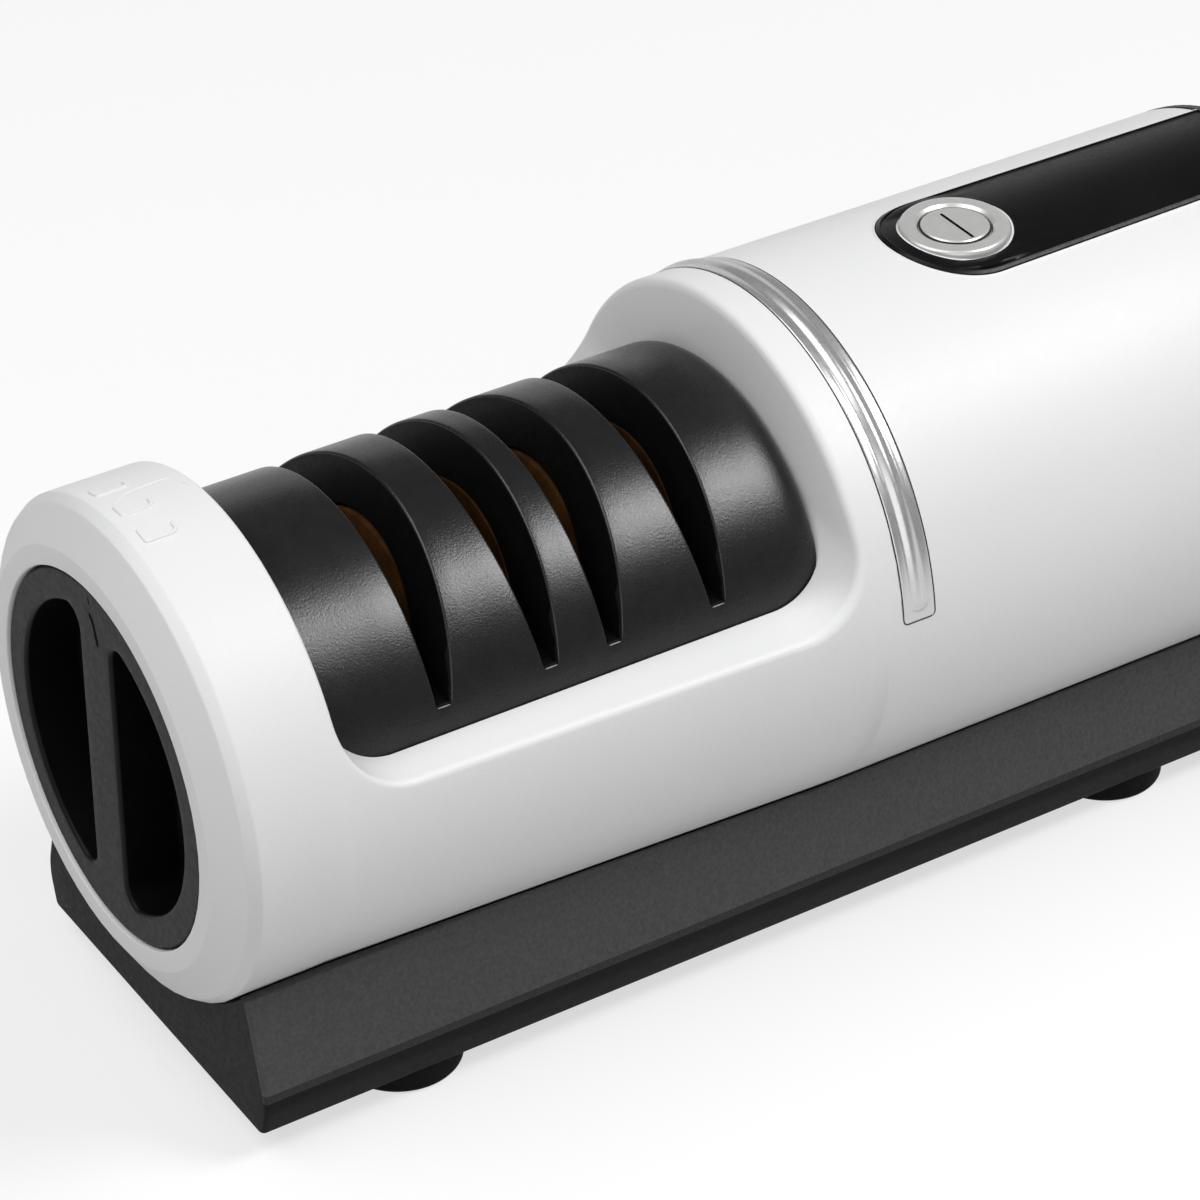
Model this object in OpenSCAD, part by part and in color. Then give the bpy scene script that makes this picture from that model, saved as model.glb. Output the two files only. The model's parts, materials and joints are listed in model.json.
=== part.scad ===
// Electric knife sharpener: a tube-shaped housing lying in a low base, with two sharpening stages.
// X runs from the selector knob to the rear cap, -Y is the near side and Z is up.
// The origin is under the middle of the part, on the surface that the feet stand on.

/* [Tube] */
// Outer radius of the tube behind the collar
rear_r = 47.8; // [40:0.1:56]
// Difference between the tube's radius behind the collar and at the front cap
cone_drop = 2.8; // [1:0.1:4]
// Thickness of the housing's wall
wall = 2.6; // [2.2:0.1:3.2]
// Height of the tube's lowest line above the base's underside
belly_h = 10; // [8.4:0.1:14]
// Distance that the front ring stands ahead of the base
nose = 7; // [5:0.5:9]
// Radius of the rounding between the chamfer and the tube
edge_r = 2; // [1:0.1:2.6]
// Width of the chamfer behind the flat ring
chamfer_w = 5.4; // [4:0.1:6.4]
// Length of the chamfer behind the flat ring
chamfer_l = 3.2; // [2.4:0.1:4]
// Width of the flat ring around the knob
ring_w = 3.7; // [3:0.1:5]
// Distance from the knob's back to the end of its sleeve
sleeve_back = 2.1; // [1.6:0.1:3]
// Thickness of the plate that carries the knob
carrier_t = 2.6; // [2:0.1:3]
// Distance from the carrier plate to the window
cap_back = 4.1; // [3:0.1:6]

/* [Window] */
// Distance from the window's front edge to the first slot
cover_lead = 23.1; // [20:0.1:28]
// Distance from the last slot to the window's rear edge
cover_tail = 22.8; // [19:0.1:28]
// Height of the window's sill above the tube's axis, where it meets the cover
sill_h = 9.9; // [8.4:0.1:11.6]
// Radius of the window's lower corners
window_corner = 12.5; // [9:0.5:14]
// Fall of the sill towards the outside, in degrees
sill_tilt = 4; // [1:1:9]
// Thickness of the window's lining
lining = 2.4; // [2:0.1:2.8]
// Width of the flange between the cover and the tube's outer face
flange_w = 7.6; // [6.4:0.1:9]

/* [Slotted cover] */
// Thickness of the cover's skin
cover_t = 2.4; // [2:0.1:2.8]
// Radius of the rounding at the cover's rear end
cover_round = 5; // [3:0.5:6]
// Depth of the cover's skirt behind the sill
skirt_drop = 5.4; // [4:0.1:6.4]
// Distance between the two slots of one stage
slot_gap = 20.8; // [18:0.1:24]
// Distance from the rear slot of one stage to the front slot of the next
stage_land = 12.5; // [10.4:0.1:15]
// Height of the slots' floor above the sill
floor_rise = 4; // [3.2:0.1:5]
// Width of a slot at its floor
slot_w = 2.8; // [2.4:0.1:3.2]
// Lean of the outer blade guide of a front slot, in degrees
outer_lean = 0.6; // [0.4:0.1:3]
// Lean of the blade guide on the wheel side of a front slot, in degrees
guide_lean = 16; // [13:0.5:18]
// Lean of the blade guide on the far side of a rear slot, in degrees
far_lean = 10.6; // [8:0.2:12]
// Lean of the blade guide on the wheel side of a rear slot, in degrees
near_lean = 5.5; // [4:0.2:7]
// Thickness of the blade guides' walls
guide_t = 1.6; // [1.3:0.1:1.9]

/* [Spindle] */
// Height of the spindle above the tube's axis
spindle_h = 6; // [5:0.1:7]
// Diameter of the spindle and of the motor's shaft
shaft_d = 6; // [5:0.1:7]
// Distance from the sharpening wheels' rims to the cover's crest
crest_gap = 8.4; // [7:0.1:10]
// Distance that a wheel's face stands into its slot
wheel_reach = 0.5; // [0.2:0.1:0.9]
// Thickness of the wheel hubs' sleeves
hub_wall = 2; // [1.6:0.1:2.4]
// Radius of the flange between the two wheels of a stage
hub_flange_r = 11; // [9:0.5:13]

/* [Knob] */
// Distance from the ring's inner edge to the knob's sleeve
knob_gap = 0.4; // [0.3:0.05:0.6]
// Distance from the ring's face back to the knob's face
knob_inset = 0.5; // [0.3:0.1:1]
// Thickness of the knob
knob_t = 13.4; // [11:0.1:16]
// Thickness of the web behind the two finger recesses
knob_web = 2.4; // [2:0.1:3]
// Thickness of the knob's wall around the finger recesses
knob_wall = 5.7; // [4.6:0.1:7]
// Width of the grip bar between the recesses
bar_w = 10.6; // [9:0.1:13]
// Radius of the recesses' corners
recess_corner = 3.4; // [2:0.1:4.5]
// Diameter of the knob's stem
stem_d = 12; // [10:0.5:14]
// Angle between the position marks on the cap, in degrees
mark_step = 13; // [10:1:16]
// Height of the raised position marks
mark_h = 0.35; // [0.2:0.05:0.5]

/* [Trim and top strip] */
// Distance from the window's rear edge to the trim
trim_gap = 7; // [5.5:0.1:9]
// Width of the trim
trim_w = 6.6; // [5:0.1:8]
// Half of the angle that the trim spans, in degrees
trim_angle = 83; // [70:1:88]
// Height that the trim stands proud of the tube
trim_h = 0.35; // [0.2:0.05:0.6]
// Width of the strip beside the button's bezel
strip_margin = 4; // [3:0.1:6]
// Difference between the strip's half width at the button and at its rear end
strip_taper = 1; // [0.4:0.1:2]
// Thickness of the strip
strip_t = 1.8; // [1.4:0.1:2.2]
// Width of the strip's raised rim
rim_w = 0.7; // [0.5:0.1:1.2]
// Height of the strip's raised rim
rim_h = 0.35; // [0.2:0.05:0.5]

/* [Power button] */
// Distance of the button behind the middle of the motor
button_back = 0.5; // [-3:0.5:5]
// Diameter of the bezel
bezel_d = 20.1; // [17:0.1:23]
// Width of the bezel's flange around its barrel
bezel_lip = 2.15; // [1.8:0.05:2.6]
// Thickness of the barrel's wall
barrel_wall = 1.15; // [0.9:0.05:1.4]
// Thickness of the pressed disc
press_t = 3.4; // [2.8:0.1:3.9]
// Length of the bezel's barrel
barrel_l = 9; // [8:0.1:10.4]
// Travel of the pressed disc
press_travel = 1.5; // [1:0.1:2]
// Width of the nut's flats beyond the barrel
nut_margin = 1.6; // [1.2:0.1:2]
// Height of the switch below the barrel, with its pins
switch_h = 6.8; // [5.6:0.1:8]

/* [Motor] */
// Distance from the window's rear edge to the motor's front face
motor_gap = 20; // [17:0.5:24]
// Length of the motor's case
motor_l = 60; // [50:1:70]
// Gap between the motor's case and the switch above it
motor_room = 1.45; // [1:0.05:3]
// Distance from the motor's rear face to the tube's rear edge
tail_l = 36; // [30:1:44]
// Distance from the motor's front face to its magnets
magnet_front = 12; // [10:0.5:15]
// Distance from the magnets to the motor's rear face
magnet_rear = 18; // [16:0.5:22]
// Distance from the tube's inner wall to the side of the motor's saddles
cradle_inset = 15.2; // [12:0.1:20]
// Distance from the tube's inner wall, at its widest, to the side of the circuit board
board_inset = 26.2; // [22:0.1:30]

/* [Base] */
// Distance that the base ends ahead of the tube's rear edge
base_setback = 3; // [1:0.5:5]
// Depth that the tube sinks into the base
sink = 14.8; // [12.4:0.1:17]
// Width of the ledge along the base's top edge
base_lip = 0.22; // [0.1:0.02:0.6]
// Difference between the base's half widths along its lower and its top edge
base_flare = 3; // [2:0.1:4]
// Difference between the base's half widths at its widest line and along its lower edge
base_bulge = 1.5; // [0.8:0.1:2.2]
// Height of the lower band's top line
band_top = 8.9; // [8:0.1:10]
// Height of the lower band's bottom line
band_low = 5.4; // [4:0.1:6.4]
// Thickness of the base's walls
base_wall = 2.5; // [2:0.1:2.9]
// Thickness of the bottom plate
plate_t = 2; // [1.6:0.1:2.4]

/* [Feet] */
// Diameter of the feet
foot_d = 22.8; // [19:0.2:26]
// Height of the feet below the base
foot_h = 5.5; // [4:0.1:7]
// Place of the front feet, from the base's front face
foot_front = 33.6; // [28:0.1:40]
// Place of the rear feet, from the base's rear face
foot_rear = 41.7; // [34:0.1:50]
// Distance from the feet to the base's lower edge
foot_margin = 0.6; // [0.4:0.1:4]

/* [Rear] */
// Depth of the rear cap beyond the tube
cap_depth = 6; // [5:0.5:8]
// Number of slots in the rear cap's grille
grille_n = 5; // [3:1:5]
// Width of the grille's slots
grille_w = 3; // [2:0.1:3.6]
// Diameter of the passage for the cord in its gland
cord_d = 6.4; // [5:0.1:8]
// Distance that the cord's gland stands out of the rear cap
gland_out = 2.6; // [2:0.1:3.2]
// Height of the cord's gland above the tube's lowest inner line
gland_lift = 15.2; // [12.6:0.1:18]

/* [Clearances] */
// Gap between pieces that rest on or next to each other
seat_gap = 0.3; // [0.2:0.05:0.4]
// Radial gap of a running fit
run_gap = 0.06; // [0.03:0.01:0.1]

/* [Hidden] */
$fn = 96;
eps = 0.01;
big = 400;
// Radii, from the tube inwards
front_r = rear_r - cone_drop;
inner_front = front_r - wall;
inner_rear = rear_r - wall;
chamfer_r = front_r - edge_r;
ring_r = chamfer_r - chamfer_w;
knob_r = ring_r - ring_w - knob_gap;
recess_r = knob_r - knob_wall;
recess_d = knob_t - knob_web;
cover_r = front_r - flange_w;
lining_r = cover_r + knob_gap;
wheel_r = cover_r - spindle_h - crest_gap;
shaft_r = shaft_d / 2;
hub_r = shaft_r + hub_wall;
bush_r = shaft_r + 3;
// Heights above the base's underside
axis_h = belly_h + rear_r;
ax = axis_h;
sp = axis_h + spindle_h;
top_z = ax + rear_r;
slot_floor = sill_h + floor_rise;
skirt_h = sill_h - skirt_drop;
base_h = belly_h + sink;
// Places along X, from the front ring to the rear edge
ring_x = -nose;
knob_x0 = ring_x + knob_inset;
knob_x1 = knob_x0 + knob_t;
sleeve_x1 = knob_x1 + sleeve_back;
carrier_x = sleeve_x1 + seat_gap;
clip_x = carrier_x + carrier_t + seat_gap;
clip_t = 1;
pin_r = 3;
switch_x = clip_x + clip_t + 1;
switch_l = 8.4;
window_x0 = carrier_x + carrier_t + cap_back;
stage_pitch = slot_gap + stage_land;
stage_x = window_x0 + cover_lead;
stages = [stage_x, stage_x + stage_pitch];
slots_front = [for (s = stages) s];
slots_rear = [for (s = stages) s + slot_gap];
window_x1 = slots_rear[1] + cover_tail;
cover_x0 = window_x0 - lining - 1;
cover_x1 = window_x1 - seat_gap;
frame_t = 3;
frame_front_x = switch_x + switch_l + 3.5;
frame_rear_x = window_x1 - 11.2;
trim_x = window_x1 + trim_gap;
motor_x = window_x1 + motor_gap;
motor_x1 = motor_x + motor_l;
shaft_x0 = frame_front_x - 1.5;
shaft_x1 = motor_x - 12.6;
button_x = motor_x + motor_l / 2 + button_back;
tube_l = motor_x1 + tail_l;
base_l = tube_l - base_setback;
// The part's middle along X
mid_x = (tube_l + cap_depth + gland_out - nose) / 2;
// The button and the switch under it
barrel_d = bezel_d - 2 * bezel_lip;
press_gap = 0.15;
press_d = barrel_d - 2 * barrel_wall - 2 * press_gap;
nut_af = barrel_d + 2 * nut_margin;
strip_half = bezel_d / 2 + strip_margin;
strip_half_rear = strip_half - strip_taper;
seat_z = top_z - strip_t;
bezel_z0 = seat_z + seat_gap;
bezel_z1 = top_z + 1.2;
press_z1 = bezel_z1 - 0.3;
barrel_z0 = bezel_z0 - barrel_l;
nut_z1 = ax + sqrt(pow(inner_rear, 2) - pow(nut_af / 2 / cos(30), 2)) - seat_gap;
motor_d = 2 * (barrel_z0 - 0.05 - switch_h - motor_room - sp);
rotor_r = 0.283 * motor_d;
// The base's widths
base_top_w = 2 * (sqrt(pow(rear_r, 2) - pow(rear_r - sink, 2)) + base_lip);
base_w = base_top_w + 2 * base_flare;
base_bulge_w = base_w + 2 * base_bulge;
foot_gap = base_w - foot_d - 2 * foot_margin;
foot_xy = [for (x = [foot_front, base_l - foot_rear]) for (y = [-foot_gap / 2, foot_gap / 2]) [x, y]];
plate_screw_y = base_w / 2 - 11.8;
plate_screw_xy = [for (x = [12, base_l / 2, base_l - 12]) for (y = [-plate_screw_y, plate_screw_y]) [x, y]];
body_screw_x = [window_x0 + 4, window_x1 + 6, tube_l - 19];
boss_top = 12;
// The rear cap's screws, from the tube's axis, and the gland
cap_screw_ring = inner_rear - 7.2;
cap_screw_yz = [for (a = [40, 140, 220, 320]) cap_screw_ring * [cos(a), sin(a)]];
gland_drop = inner_rear - gland_lift;
gland_z = ax - gland_drop;
gland_x0 = tube_l + 2 * seat_gap;
gland_x1 = tube_l + cap_depth + gland_out;

// Moves a piece drawn from the base's front corner into the part's own frame.
module place() {
    translate([-mid_x, 0, foot_h]) children();
}

// Turns a profile of radius and X into a solid about a line along X at height z.
module turn_x(z, n = 128) {
    translate([0, 0, z]) rotate([0, 90, 0]) rotate_extrude($fn = n) children();
}

// A straight round bar along X between two places.
module bar_x(r, x0, x1, z, y = 0) {
    translate([x0, y, z]) rotate([0, 90, 0]) cylinder(r = r, h = x1 - x0);
}

// A profile of X and Z pushed along Y between two places.
module along_y(y0, y1) {
    translate([0, y1, 0]) rotate([90, 0, 0]) linear_extrude(y1 - y0) children();
}

// A profile of Y and Z pushed along X between two places.
module along_x(x0, x1) {
    translate([x0, 0, 0]) rotate([90, 0, 90]) linear_extrude(x1 - x0) children();
}

// Points of an arc in a profile, from angle a0 to a1.
function arc(cx, cy, r, a0, a1, n = 6) = [
    for (i = [0:n]) let (a = a0 + (a1 - a0) * i / n) [cx + r * cos(a), cy + r * sin(a)]
];

// Radius of the tube's cone between the window's front and rear edges.
function tube_r(x) = front_r + (rear_r - front_r) * min(1, max(0, (x - window_x0) / (window_x1 - window_x0)));

// The tube's outer profile of radius and X, grown by g, with the chamfered and rounded nose.
module tube_profile(g = 0) {
    slope = atan(chamfer_l / chamfer_w) - 90;
    edge = arc(chamfer_r, ring_x + chamfer_l + edge_r, edge_r, slope, 0);
    polygon(concat(
        [[0, ring_x - g], [ring_r + g, ring_x - g], [chamfer_r + g, ring_x + chamfer_l - g]],
        [for (p = edge) [p[0] + g, p[1]]],
        [[front_r + g, window_x0], [rear_r + g, window_x1], [rear_r + g, tube_l + g], [0, tube_l + g]]
    ));
}

// The hollow of the tube behind the knob's sleeve.
module tube_hollow() {
    turn_x(ax) polygon([
        [0, sleeve_x1], [inner_front, sleeve_x1], [inner_front, window_x0],
        [inner_rear, window_x1], [inner_rear, tube_l + 1], [0, tube_l + 1]
    ]);
}

// The hollow between the knob's sleeve and the nose.
module nose_hollow() {
    r0 = knob_r + knob_gap + 1.9;
    turn_x(ax) polygon([
        [r0, ring_x + 3.4], [ring_r, ring_x + 3.4], [inner_front - 0.6, ring_x + 6.2],
        [inner_front - 0.6, sleeve_x1 + eps], [r0, sleeve_x1 + eps]
    ]);
}

// Side view of the window, grown by g, with its sill at height 0.
module window_profile(g) {
    c = window_corner + g;
    x0 = window_x0 - g;
    x1 = window_x1 + g;
    union() {
        translate([x0, -g + c]) square([x1 - x0, 120]);
        translate([x0 + c, -g]) square([x1 - x0 - 2 * c, c + 1]);
        translate([x0 + c, -g + c]) circle(r = c);
        translate([x1 - c, -g + c]) circle(r = c);
    }
}

// The space of the window, grown by g: a tilted cutter on each side of the middle plane.
module window_space(g = 0) {
    pivot_y = lining_r * cos(asin(sill_h / lining_r));
    for (side = [-1, 1]) intersection() {
        translate([0, side * pivot_y, ax + sill_h])
            rotate([-side * sill_tilt, 0, 0])
                along_y(side > 0 ? -90 : -30, side > 0 ? 30 : 90) window_profile(g);
        translate([0, side > 0 ? 0 : -80, ax]) cube([200, 80, 80]);
    }
}

// The lining that carries the window's edge in to the cover, and the collar's face.
module window_lining() {
    intersection() {
        window_space(lining);
        turn_x(ax) polygon([
            [lining_r, window_x0 - lining - 1], [rear_r - 1, window_x0 - lining - 1],
            [rear_r - 1, window_x1 + lining + 1], [lining_r, window_x1 + lining + 1]
        ]);
    }
    turn_x(ax) polygon([
        [cover_r - cover_round, window_x1], [rear_r - 1, window_x1],
        [rear_r - 1, window_x1 + lining], [cover_r - cover_round, window_x1 + lining]
    ]);
}

// Outline of the strip seen from above, grown by g.
module strip_outline(g = 0) {
    translate([button_x, 0]) circle(r = strip_half + g);
    polygon([
        [button_x, -strip_half - g], [button_x, strip_half + g],
        [tube_l + g, strip_half_rear + g], [tube_l + g, -strip_half_rear - g]
    ]);
}

// A curved sheet that follows the top of the tube between two radii, cut to the strip's outline.
module strip_sheet(r0, r1, g) {
    x0 = button_x - strip_half - 6;
    intersection() {
        turn_x(ax) polygon([[r0, x0], [r1, x0], [r1, tube_l + g], [r0, tube_l + g]]);
        translate([0, 0, ax + 20]) linear_extrude(50) strip_outline(g);
    }
}

// A band round the top of the tube between two radii, over the trim's angle.
module trim_band(r0, r1, x0, x1, a) {
    translate([0, 0, ax]) rotate([0, 90, 0]) rotate([0, 0, 180 - a])
        rotate_extrude(angle = 2 * a, $fn = 128) translate([r0, x0]) square([r1 - r0, x1 - x0]);
}

// One raised position mark on the cap: a low bar with a hook at its front end.
module position_mark(a) {
    translate([0, 0, ax]) rotate([-a, 0, 0]) {
        translate([0.5, -0.6, front_r - 1]) cube([8, 1.2, 1 + mark_h]);
        translate([0.5, -0.6, front_r - 1]) cube([1.2, 4, 1 + mark_h - 0.1]);
    }
}

module housing() {
    color([0.90, 0.91, 0.91]) place() {
        difference() {
            turn_x(ax, 180) tube_profile();
            difference() {
                tube_hollow();
                window_lining();
            }
            nose_hollow();
            bar_x(knob_r + knob_gap, ring_x - 1, sleeve_x1 + 1, ax);
            window_space();
            trim_band(rear_r - 1, rear_r + 1, trim_x - 0.1, trim_x + trim_w + 0.1, trim_angle + 0.3);
            strip_sheet(rear_r - strip_t - 0.1, rear_r + 3, 0.15);
            translate([button_x, 0, seat_z]) cylinder(d = bezel_d + 0.4, h = 10);
            translate([button_x, 0, ax + 20]) cylinder(d = barrel_d + 0.4, h = 40);
            for (x = body_screw_x) translate([x, 0, belly_h - 1]) cylinder(d = 3.4, h = wall + cone_drop + 4);
        }
        for (i = [-1:1]) position_mark(i * mark_step);
        for (x = body_screw_x) screw_boss(x);
    }
}

// A boss inside the housing for a screw from below.
module screw_boss(x) {
    r = tube_r(x);
    translate([x, 0, ax - r + 1]) difference() {
        cylinder(d = 9, h = boss_top);
        translate([0, 0, -2]) cylinder(d = 3.4, h = boss_top);
    }
}

module body_screws() {
    color([0.62, 0.63, 0.65]) place() for (x = body_screw_x) {
        z = ax - tube_r(x) - seat_gap - base_wall - seat_gap;
        translate([x, 0, z - 2.2]) cylinder(d = 7, h = 2.2);
        translate([x, 0, z - 0.1]) cylinder(d = 3.3, h = 12);
    }
}

module rear_cap() {
    c = cap_depth - 1;
    color([0.20, 0.20, 0.21]) place() difference() {
        turn_x(ax) polygon(concat(
            [[0, tube_l + cap_depth]],
            [[rear_r - c, tube_l + cap_depth]],
            [for (p = arc(rear_r - c, tube_l + cap_depth - c, c, 80, 0, 6)) p],
            [[rear_r, tube_l + seat_gap], [inner_rear - seat_gap, tube_l + seat_gap]],
            [[inner_rear - seat_gap, tube_l - 8], [inner_rear - 2.6, tube_l - 8]],
            [[inner_rear - 2.6, tube_l + cap_depth - 3], [0, tube_l + cap_depth - 3]]
        ));
        for (i = [0:grille_n - 1]) {
            z = ax + cap_screw_yz[0][1] * (1 - i / 3);
            half = cap_screw_yz[0][0] - 9.1 + 3 * min(i, grille_n - 1 - i);
            translate([tube_l - 2, -half, z - grille_w / 2]) cube([cap_depth + 4, 2 * half, grille_w]);
        }
        bar_x(cord_d / 2 + 2 + 0.1, tube_l - 2, tube_l + cap_depth + 1, gland_z);
        for (p = cap_screw_yz) bar_x(1.8, tube_l - 2, tube_l + cap_depth + 1, ax + p[1], p[0]);
    }
    color([0.20, 0.20, 0.21]) place() for (p = cap_screw_yz) difference() {
        bar_x(3.6, tube_l - 8, tube_l + cap_depth - 2.9, ax + p[1], p[0]);
        bar_x(1.8, tube_l - 9, tube_l + cap_depth + 1, ax + p[1], p[0]);
    }
}

module rear_cap_screws() {
    color([0.62, 0.63, 0.65]) place() for (p = cap_screw_yz) {
        bar_x(1.7, tube_l - 7, tube_l + cap_depth + 0.4, ax + p[1], p[0]);
        bar_x(3, tube_l + cap_depth + seat_gap, tube_l + cap_depth + 1.6, ax + p[1], p[0]);
    }
}

module cord_gland() {
    r = cord_d / 2;
    color([0.10, 0.10, 0.10]) place() turn_x(gland_z, 64) polygon([
        [r, gland_x0], [r + 3.6, gland_x0],
        [r + 3.6, tube_l + cap_depth - 3 - seat_gap], [r + 2, tube_l + cap_depth - 3 - seat_gap],
        [r + 2, tube_l + cap_depth + seat_gap], [r + 4, tube_l + cap_depth + seat_gap],
        [r + 4, gland_x1 - 0.8], [r + 3.2, gland_x1], [r, gland_x1]
    ]);
}

// Profile of one slot in X and Z, from its floor up past the crest, grown by g.
module slot_profile(x, lean0, lean1, g = 0) {
    h = cover_r - slot_floor + 6;
    polygon([
        [x - slot_w / 2 - g, ax + slot_floor - g], [x + slot_w / 2 + g, ax + slot_floor - g],
        [x + slot_w / 2 + g + h * tan(lean1), ax + slot_floor + h],
        [x - slot_w / 2 - g - h * tan(lean0), ax + slot_floor + h]
    ]);
}

// All four slots across the cover, grown by g.
module slot_cuts(g = 0) {
    along_y(-60, 60) {
        for (x = slots_front) slot_profile(x, outer_lean, guide_lean, g);
        for (x = slots_rear) slot_profile(x, near_lean, far_lean, g);
    }
}

// The space that the sharpening wheels need in the blade guides.
module wheel_space() {
    for (s = stages)
        bar_x(wheel_r + 0.7, s + slot_w / 2 - wheel_reach, s + slot_gap - slot_w / 2 + wheel_reach, sp);
}

module guide_cover() {
    r = cover_r;
    t = cover_t;
    c = cover_round;
    color([0.09, 0.09, 0.10]) place() difference() {
        union() {
            intersection() {
                turn_x(ax, 180) polygon(concat(
                    [[r - t, cover_x0 + t], [r - 9, cover_x0 + t], [r - 9, cover_x0], [r, cover_x0]],
                    arc(r - c, cover_x1 - c, c, 0, 90, 6),
                    [[r - 9, cover_x1], [r - 9, cover_x1 - t], [r - c, cover_x1 - t]],
                    arc(r - c, cover_x1 - c, c - t, 90, 0, 4)
                ));
                translate([0, -60, ax + skirt_h]) cube([200, 120, 60]);
            }
            intersection() {
                slot_cuts(guide_t);
                bar_x(r - t / 2, cover_x0 + 5, cover_x1 - 5, ax);
                translate([0, -60, ax + slot_floor - guide_t]) cube([200, 120, 60]);
            }
        }
        slot_cuts();
        wheel_space();
    }
}

// A finger recess on the side given: a round segment beside the grip bar, with soft corners.
module recess_outline(side) {
    offset(r = recess_corner, $fn = 32) offset(delta = -recess_corner)
        intersection() {
            circle(r = recess_r, $fn = 72);
            translate([side > 0 ? bar_w / 2 : -big - bar_w / 2, -big / 2]) square([big, big]);
        }
}

module front_knob() {
    sr = stem_d / 2;
    clip_x1 = clip_x + clip_t;
    pin_x1 = switch_x + switch_l - 1.6;
    rim = knob_r - 2.4;
    color([0.07, 0.07, 0.08]) place() {
        difference() {
            turn_x(ax) polygon([
                [0, pin_x1], [0, knob_x0], each arc(knob_r - 1, knob_x0 + 1, 1, -90, 0),
                [knob_r, knob_x1], [rim, knob_x1], [rim, knob_x1 - 1.2], [sr, knob_x1 - 1.2],
                [sr, clip_x], [sr - 1, clip_x], [sr - 1, clip_x1 + 0.1], [sr, clip_x1 + 0.1],
                [sr, clip_x1 + 0.6], [pin_r, clip_x1 + 0.6], [pin_r, pin_x1]
            ]);
            translate([0, 0, ax]) along_x(knob_x0 - 1, knob_x0 + recess_d) {
                recess_outline(1);
                recess_outline(-1);
            }
            translate([knob_x0 - 1, -0.6, ax + knob_r - 8.5]) cube([1.6, 1.2, 5]);
            translate([knob_x0 - 1, -0.4, ax + knob_r - 2.3]) cube([1.5, 0.8, 1.3]);
        }
    }
}

module knob_clip() {
    sr = stem_d / 2;
    color([0.55, 0.56, 0.58]) place() difference() {
        turn_x(ax, 64) polygon([
            [sr - 1 + 0.05, clip_x + 0.05], [sr + 3, clip_x + 0.05],
            [sr + 3, clip_x + clip_t], [sr - 1 + 0.05, clip_x + clip_t]
        ]);
        translate([clip_x - 1, -sr + 1.6, ax - 20]) cube([4, 2 * sr - 3.2, 20]);
    }
}

module knob_carrier() {
    sr = stem_d / 2;
    r = inner_front - seat_gap;
    ring = (r + sr + 4) / 2;
    color([0.16, 0.16, 0.17]) place() difference() {
        union() {
            bar_x(r, carrier_x, carrier_x + carrier_t, ax);
            bar_x(sr + 4, carrier_x - 1.6, carrier_x + eps, ax);
        }
        bar_x(sr + run_gap, carrier_x - 3, carrier_x + 6, ax);
        for (a = [30:60:330])
            bar_x(4.5, carrier_x - 1, carrier_x + 6, ax + ring * sin(a), ring * cos(a));
    }
}

module detent_spring() {
    sr = stem_d / 2;
    color([0.75, 0.76, 0.78]) place() {
        translate([carrier_x - 0.8, -13, ax + sr + 6]) cube([0.5, 26, 5]);
        translate([carrier_x - 1.5, 0, ax + sr + 8.5]) rotate([0, 90, 0]) cylinder(d = 4, h = 0.8);
    }
}

module selector_switch() {
    color([0.25, 0.22, 0.19]) place() difference() {
        union() {
            translate([switch_x, -11, ax - 9]) cube([switch_l, 22, 18]);
            for (side = [-1, 1])
                translate([clip_x, side * 12.5 - 2, ax - 4]) cube([switch_x + 3 - clip_x, 4, 8]);
            for (y = [-6, 0, 6])
                translate([switch_x + 2.5, y - 0.8, ax - 13]) cube([0.8, 1.6, 5]);
        }
        bar_x(pin_r + run_gap, switch_x - 1, switch_x + switch_l - 1, ax);
    }
}

module chrome_trim() {
    x1 = trim_x + trim_w;
    color([0.82, 0.83, 0.84]) place() {
        trim_band(rear_r - 0.7, rear_r + trim_h, trim_x, trim_x + 1.5, trim_angle);
        trim_band(rear_r - 0.7, rear_r - 0.1, trim_x + 1.4, x1 - 1.4, trim_angle);
        trim_band(rear_r - 0.7, rear_r + trim_h, x1 - 1.5, x1, trim_angle);
        translate([0, 0, ax]) rotate([0, 90, 0]) rotate([0, 0, 180 - trim_angle])
            rotate_extrude(angle = 2 * trim_angle, $fn = 128)
                intersection() {
                    translate([rear_r + trim_h - 1.1, trim_x + trim_w / 2]) circle(r = 1.1, $fn = 32);
                    translate([rear_r - 0.5, trim_x]) square([2, trim_w]);
                }
    }
}

module strip_panel() {
    color([0.05, 0.05, 0.06]) place() difference() {
        union() {
            strip_sheet(rear_r - strip_t + seat_gap, rear_r + 0.1, 0);
            difference() {
                strip_sheet(rear_r, rear_r + 0.1 + rim_h, 0);
                strip_sheet(rear_r - 1, rear_r + 2, -rim_w);
            }
        }
        translate([button_x, 0, ax + 20]) cylinder(d = bezel_d + 0.4, h = 60);
    }
}

module button_bezel() {
    ri = press_d / 2 + press_gap;
    color([0.74, 0.74, 0.73]) place() translate([button_x, 0, 0]) rotate_extrude($fn = 96) polygon([
        [ri, barrel_z0], [barrel_d / 2, barrel_z0], [barrel_d / 2, bezel_z0], [bezel_d / 2, bezel_z0],
        each arc(bezel_d / 2 - 0.7, bezel_z1 - 0.7, 0.7, 0, 90, 4),
        each arc(ri + 0.5, bezel_z1 - 0.5, 0.5, 90, 180, 3)
    ]);
}

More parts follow.
